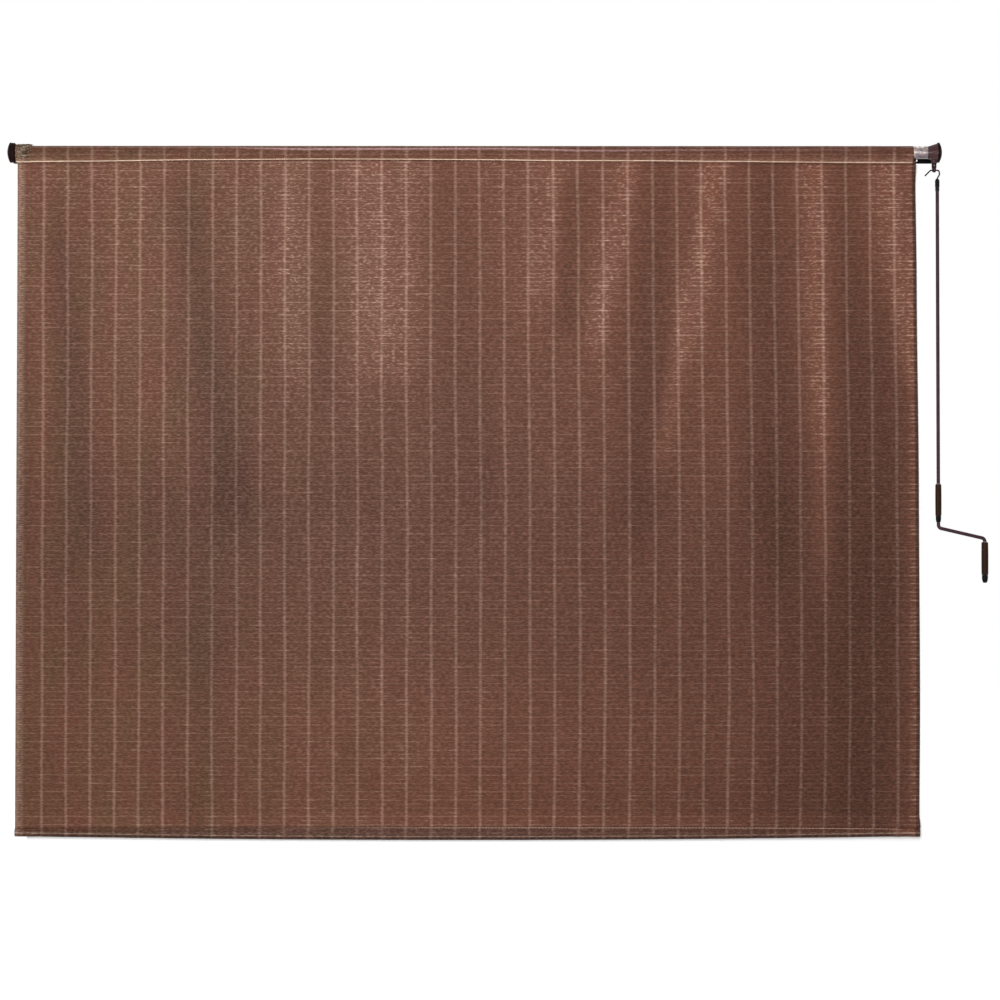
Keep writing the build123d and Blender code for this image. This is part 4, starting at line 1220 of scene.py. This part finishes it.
def frayed_strands():
    """Short bent strands that lie on the thick end of the roll."""
    draw = random.Random(FRAY_SEED)
    rows = []
    for _ in range(FRAY_COUNT):
        start = roll_low.x + draw.uniform(*FRAY_START) * MM
        length = draw.uniform(*FRAY_LENGTH) * MM
        angle = draw.uniform(*FRAY_ANGLE)
        slant = draw.uniform(*FRAY_SLANT) / length * MM
        lift = draw.uniform(*FRAY_LIFT) * MM
        route = []
        for step in range(FRAY_STEPS + 1):
            share = step / FRAY_STEPS
            turned = math.radians(angle - slant * length / MM * share)
            sag = ROLL_SAG * (1 - math.cos(turned)) / 2
            radius = tube_r + ROLL_TIGHT + ROLL_BUILD + sag + THICK_RISE * upper_side(turned)
            radius += FRAY_ABOVE + lift * math.sin(math.pi * share)
            x = start + length * share * 0.9
            route.append(Vector((x, axis_y - radius * math.sin(turned), radius * math.cos(turned))))
        rows.append(strand(route, FRAY_R, FRAY_SIDES))
    return bundle(rows)


def fray_finish():
    """Dry tape, paler than the cloth."""
    fray = Finish("frayed_tape", Specular_IOR_Level=0.3, Roughness=0.6)
    spot = fray.grain(fray.stretch(fray.place(), (45, 330, 330)), detail=1.0)
    fray.set("Base Color", fray.mix(fray.soft(spot, 0.46, 0.62), FRAY_DARK, FRAY_TONE))
    return fray.material


fray = new_piece("frayed_ends", *frayed_strands(), "roller", fray_finish(), "shade_cloth")
print("strands", FRAY_COUNT)

# %% [markdown]
# ## Hard finishes
# The fittings are dark moulded plastic, powder-coated and zinc-plated steel and a bare
# drawn tube. Three small recipes cover them: plastic gets flow marks and a fine
# grain, paint gets an orange-peel surface, and bare metal gets streaks along the way
# it was drawn. Each fitting then has its own tone, gloss and scale.

# %% Moulded, painted and bare
MOULD_RELIEF = 0.04 * MM
PEEL_RELIEF = 0.06 * MM
DRAWN_RELIEF = 0.02 * MM


def moulded(name, tone, rough, grain=0.8 * MM, gloss=0.06):
    """Moulded plastic with flow marks, a fine grain and uneven gloss."""
    plastic = Finish(name, Specular_IOR_Level=gloss)
    point = plastic.place()
    flow = plastic.grain(plastic.stretch(point, (70, 70, 35)), detail=3.0, twist=1.0)
    fine = plastic.grain(point, 1 / grain, detail=1.0)
    plastic.set("Base Color", plastic.scale(tone, 0.72 + flow * 0.4 + fine * 0.12))
    plastic.set("Roughness", rough - 0.1 + flow * 0.2)
    plastic.bump(fine * 0.7 + flow * 0.3, MOULD_RELIEF)
    return plastic.material


def painted(name, tone, rough, peel=1.5 * MM, wear_and_highlight=None):
    """Powder coat: an orange-peel surface, a little dust, and a second tone in patches."""
    paint = Finish(name, Specular_IOR_Level=0.05)
    point = paint.place()
    skin = paint.grain(point, 1 / peel, detail=1.0)
    patch = paint.soft(paint.grain(point, 34.0, detail=4.0, twist=0.6), 0.42, 0.66)
    tone = paint.mix(patch, tone, wear_and_highlight or tone)
    paint.set("Base Color", paint.scale(tone, 0.85 + skin * 0.3))
    paint.set("Roughness", rough + (skin - 0.5) * 0.16)
    paint.bump(skin, PEEL_RELIEF)
    return paint.material


def bare(name, dark, light, rough, streaks):
    """Bare metal, streaked along the way it was drawn or rolled."""
    metal = Finish(name, Metallic=1.0)
    point = metal.place()
    streak = metal.grain(metal.stretch(point, streaks), detail=3.0, twist=0.4)
    haze = metal.grain(point, 45.0, detail=3.0, twist=1.6)
    metal.set("Base Color", metal.mix(metal.soft(streak * 0.5 + haze * 0.5, 0.35, 0.65), dark, light))
    metal.set("Roughness", rough + (streak - 0.5) * 0.2)
    metal.bump(streak, DRAWN_RELIEF)
    return metal.material


TUBE_SHADED = colour(100, 88, 94)
# Painted shade: the tube darkens towards the housing and on its underside.
SHADED_END = (1.211, 1.227)    # the tube darkens towards the fluted housing
SHADED_FOOT = (4 * MM, -13 * MM)
# Painted reflections: the swirl runs between these dark and bright reflected tones.
TUBE_STOPS = [
    (0.32, colour(112, 97, 101)), (0.46, colour(152, 138, 138)),
    (0.54, colour(184, 173, 168)), (0.66, colour(226, 218, 209)),
]
TUBE_RELIEF = 0.08 * MM


def tube_finish():
    """Drawn tube with painted reflections that swirl between silver and a pinkish grey, and painted shade at the
    housing end and underneath.
    """
    metal = Finish("bare_tube", Metallic=1.0)
    point = metal.place()
    swirl = metal.grain(metal.stretch(point, (26, 34, 34)), detail=2.0, twist=2.2)
    drawn = metal.grain(metal.stretch(point, (12, 900, 900)), detail=2.0)
    along, _, up = metal.split(point)
    tone = metal.add("ShaderNodeValToRGB", {"stops": TUBE_STOPS}, {0: swirl})
    painted_tube_shade = (metal.soft(along, *SHADED_END) * 0.85).most(metal.soft(up, *SHADED_FOOT) * 0.75)
    metal.set("Base Color", metal.mix(painted_tube_shade, tone, TUBE_SHADED))
    metal.set("Roughness", 0.22 + drawn * 0.2)
    metal.bump(drawn * 0.4 + swirl * 0.6, TUBE_RELIEF)
    return metal.material


finishes = {
    "bracket_paint": painted("black_coat", colour(12, 11, 10), 0.45, wear_and_highlight=colour(22, 20, 18)),
    "cap_plastic": moulded("cap_moulding", colour(40, 22, 20), 0.5, gloss=0.02),
    "housing_plastic": moulded("housing_moulding", colour(78, 50, 53), 0.3, gloss=0.14),
    "zinc_steel": bare("zinc_plate", colour(96, 94, 92), colour(160, 157, 150), 0.32, (400, 400, 400)),
    "spring_steel": bare("spring_wire", colour(70, 70, 72), colour(122, 120, 118), 0.35, (60, 600, 60)),
    "bush_plastic": moulded("bush_moulding", colour(70, 72, 70), 0.5),
    "gear_plastic": moulded("gear_moulding", colour(214, 208, 192), 0.4, grain=1.2 * MM, gloss=0.4),
    "gear_steel": bare("gear_blank", colour(96, 96, 98), colour(150, 148, 144), 0.4, (200, 200, 900)),
    "eye_paint": painted("eye_coat", colour(54, 34, 40), 0.38, wear_and_highlight=colour(66, 46, 50)),
    "plug_plastic": moulded("plug_moulding", colour(44, 44, 46), 0.6),
    "tube_metal": tube_finish(),
    "rail_metal": bare("rail_tube", colour(120, 118, 118), colour(190, 188, 186), 0.3, (12, 700, 700)),
    "wand_paint": painted("wand_coat", colour(68, 48, 54), 0.34, peel=0.9 * MM, wear_and_highlight=colour(78, 56, 63)),
    "ferrule_plastic": moulded("ferrule_moulding", colour(16, 15, 15), 0.3),
    "collar_plastic": moulded("collar_moulding", colour(42, 38, 38), 0.45),
    "grip_plastic": moulded("grip_moulding", colour(50, 31, 22), 0.38, grain=0.6 * MM),
    "shade_cloth": cloth_material,
}
DARKER_NODES = {"idler_cover": "cap_plastic"}  # at the far end the cover is as dark as its cap
for part in frame["record"]["subparts"]:
    mesh = nodes[part["node"]].data
    if not mesh.materials:
        mesh.materials.append(None)
    for place in nodes[part["node"]].material_slots:
        place.material = finishes[DARKER_NODES.get(part["node"], part["material_slot"])]
print("finishes", len(finishes))

# %% [markdown]
# ## The bowed bar
# The bar's rings were worked out with the seam. It waits until here because it takes
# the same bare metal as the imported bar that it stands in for.

# %% Put the bowed bar in the sleeve
bar = new_piece("bowed_bar", *bar_points(), "bottom_rail", finishes["rail_metal"], "rail_metal")
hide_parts("hem_bar")
print("bar bows by", round(float(bar_height(bar_low.x) - bar_height(0.0)) / MM, 1), "mm")

# %% [markdown]
# ## The tube's screw
# One screw holds the tube to its plug, and its head shows on the bare stretch of
# tube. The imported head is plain, so this one has a turned edge and a cross recess,
# cut by a boolean of two crossed bars.

# %% Cut the screw's recess
SCREW_HEAD_R = 2.9 * MM
SCREW_HEAD = 1.4 * MM
SCREW_SIDES = 40
SHANK_R = 1.5 * MM
RECESS_WIDTH = 0.8 * MM
RECESS_LENGTH = 3.4 * MM
RECESS_DEPTH = 0.9 * MM


def lathe(name, outline):
    """Turn (radius, height) points round the Y axis, towards the viewer."""
    points = []
    for radius, height in outline:
        points += [(radius * cos, -height, radius * sin) for cos, sin in circle(SCREW_SIDES)]
    mesh = bpy.data.meshes.new(name)
    mesh.from_pydata(points, [], closed_faces(len(outline), SCREW_SIDES))
    return mesh


def cross_cutter():
    """Two bars that cross at the middle of the head."""
    shape = bmesh.new()
    for length, width in ((RECESS_LENGTH, RECESS_WIDTH), (RECESS_WIDTH, RECESS_LENGTH)):
        made = bmesh.ops.create_cube(shape, size=1.0)["verts"]
        bmesh.ops.scale(shape, vec=(length, RECESS_DEPTH * 2, width), verts=made)
    mesh = bpy.data.meshes.new("cross_cutter")
    shape.to_mesh(mesh)
    shape.free()
    return mesh


def recessed_screw():
    """The screw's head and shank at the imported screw's place."""
    screw_low, screw_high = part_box("tube_screw")
    seat = axis_y - tube_r
    shank = screw_high.y - seat
    head = lathe("tube_screw_head", [
        (SHANK_R, -shank), (SHANK_R, 0.0), (SCREW_HEAD_R, 0.0), (SCREW_HEAD_R, SCREW_HEAD * 0.35),
        (SCREW_HEAD_R * 0.93, SCREW_HEAD * 0.62), (SCREW_HEAD_R * 0.76, SCREW_HEAD * 0.85),
        (SCREW_HEAD_R * 0.5, SCREW_HEAD * 0.97), (0.2 * MM, SCREW_HEAD),
    ])
    blank = linked("screw_blank", head)
    cutter = linked("screw_cutter", cross_cutter())
    cutter.location.y = -SCREW_HEAD
    cut = blank.modifiers.new("recess", "BOOLEAN")
    cut.object = cutter
    cut.operation = "DIFFERENCE"
    cut.solver = "EXACT"
    bpy.context.view_layer.update()
    depsgraph = bpy.context.evaluated_depsgraph_get()
    mesh = bpy.data.meshes.new_from_object(blank.evaluated_get(depsgraph))
    for obj in (blank, cutter):
        bpy.data.objects.remove(obj)
    middle = (screw_low + screw_high) / 2
    mesh.transform(Matrix.Translation((middle.x, seat, middle.z)))
    mesh.materials.clear()
    mesh.materials.append(finishes["zinc_steel"])
    screw = riding("recessed_screw", mesh, "roller")
    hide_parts("tube_screw")
    return screw


screw = recessed_screw()
print("screw faces", len(screw.data.polygons))

# %% [markdown]
# ## The cloth that moves
# The real panel winds onto the tube as the rail rises. A posed model can't wind cloth,
# so the panel is squashed towards the roller instead, until the rail's full travel is
# used up. A posed model can't wind cloth, so here the share of its height that the
# panel keeps when the rail has used its full travel is worked out, and the panel gets
# a mesh of its own.

lift = next(joint for joint in frame["joints"] if joint["name"] == "shade_lift")
lift_limit = max(lift["range_m"])
keep = 1 - lift_limit / cloth_drop
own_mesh(panel)
print("panel keeps", round(keep, 4), "of its height when the shade is up")
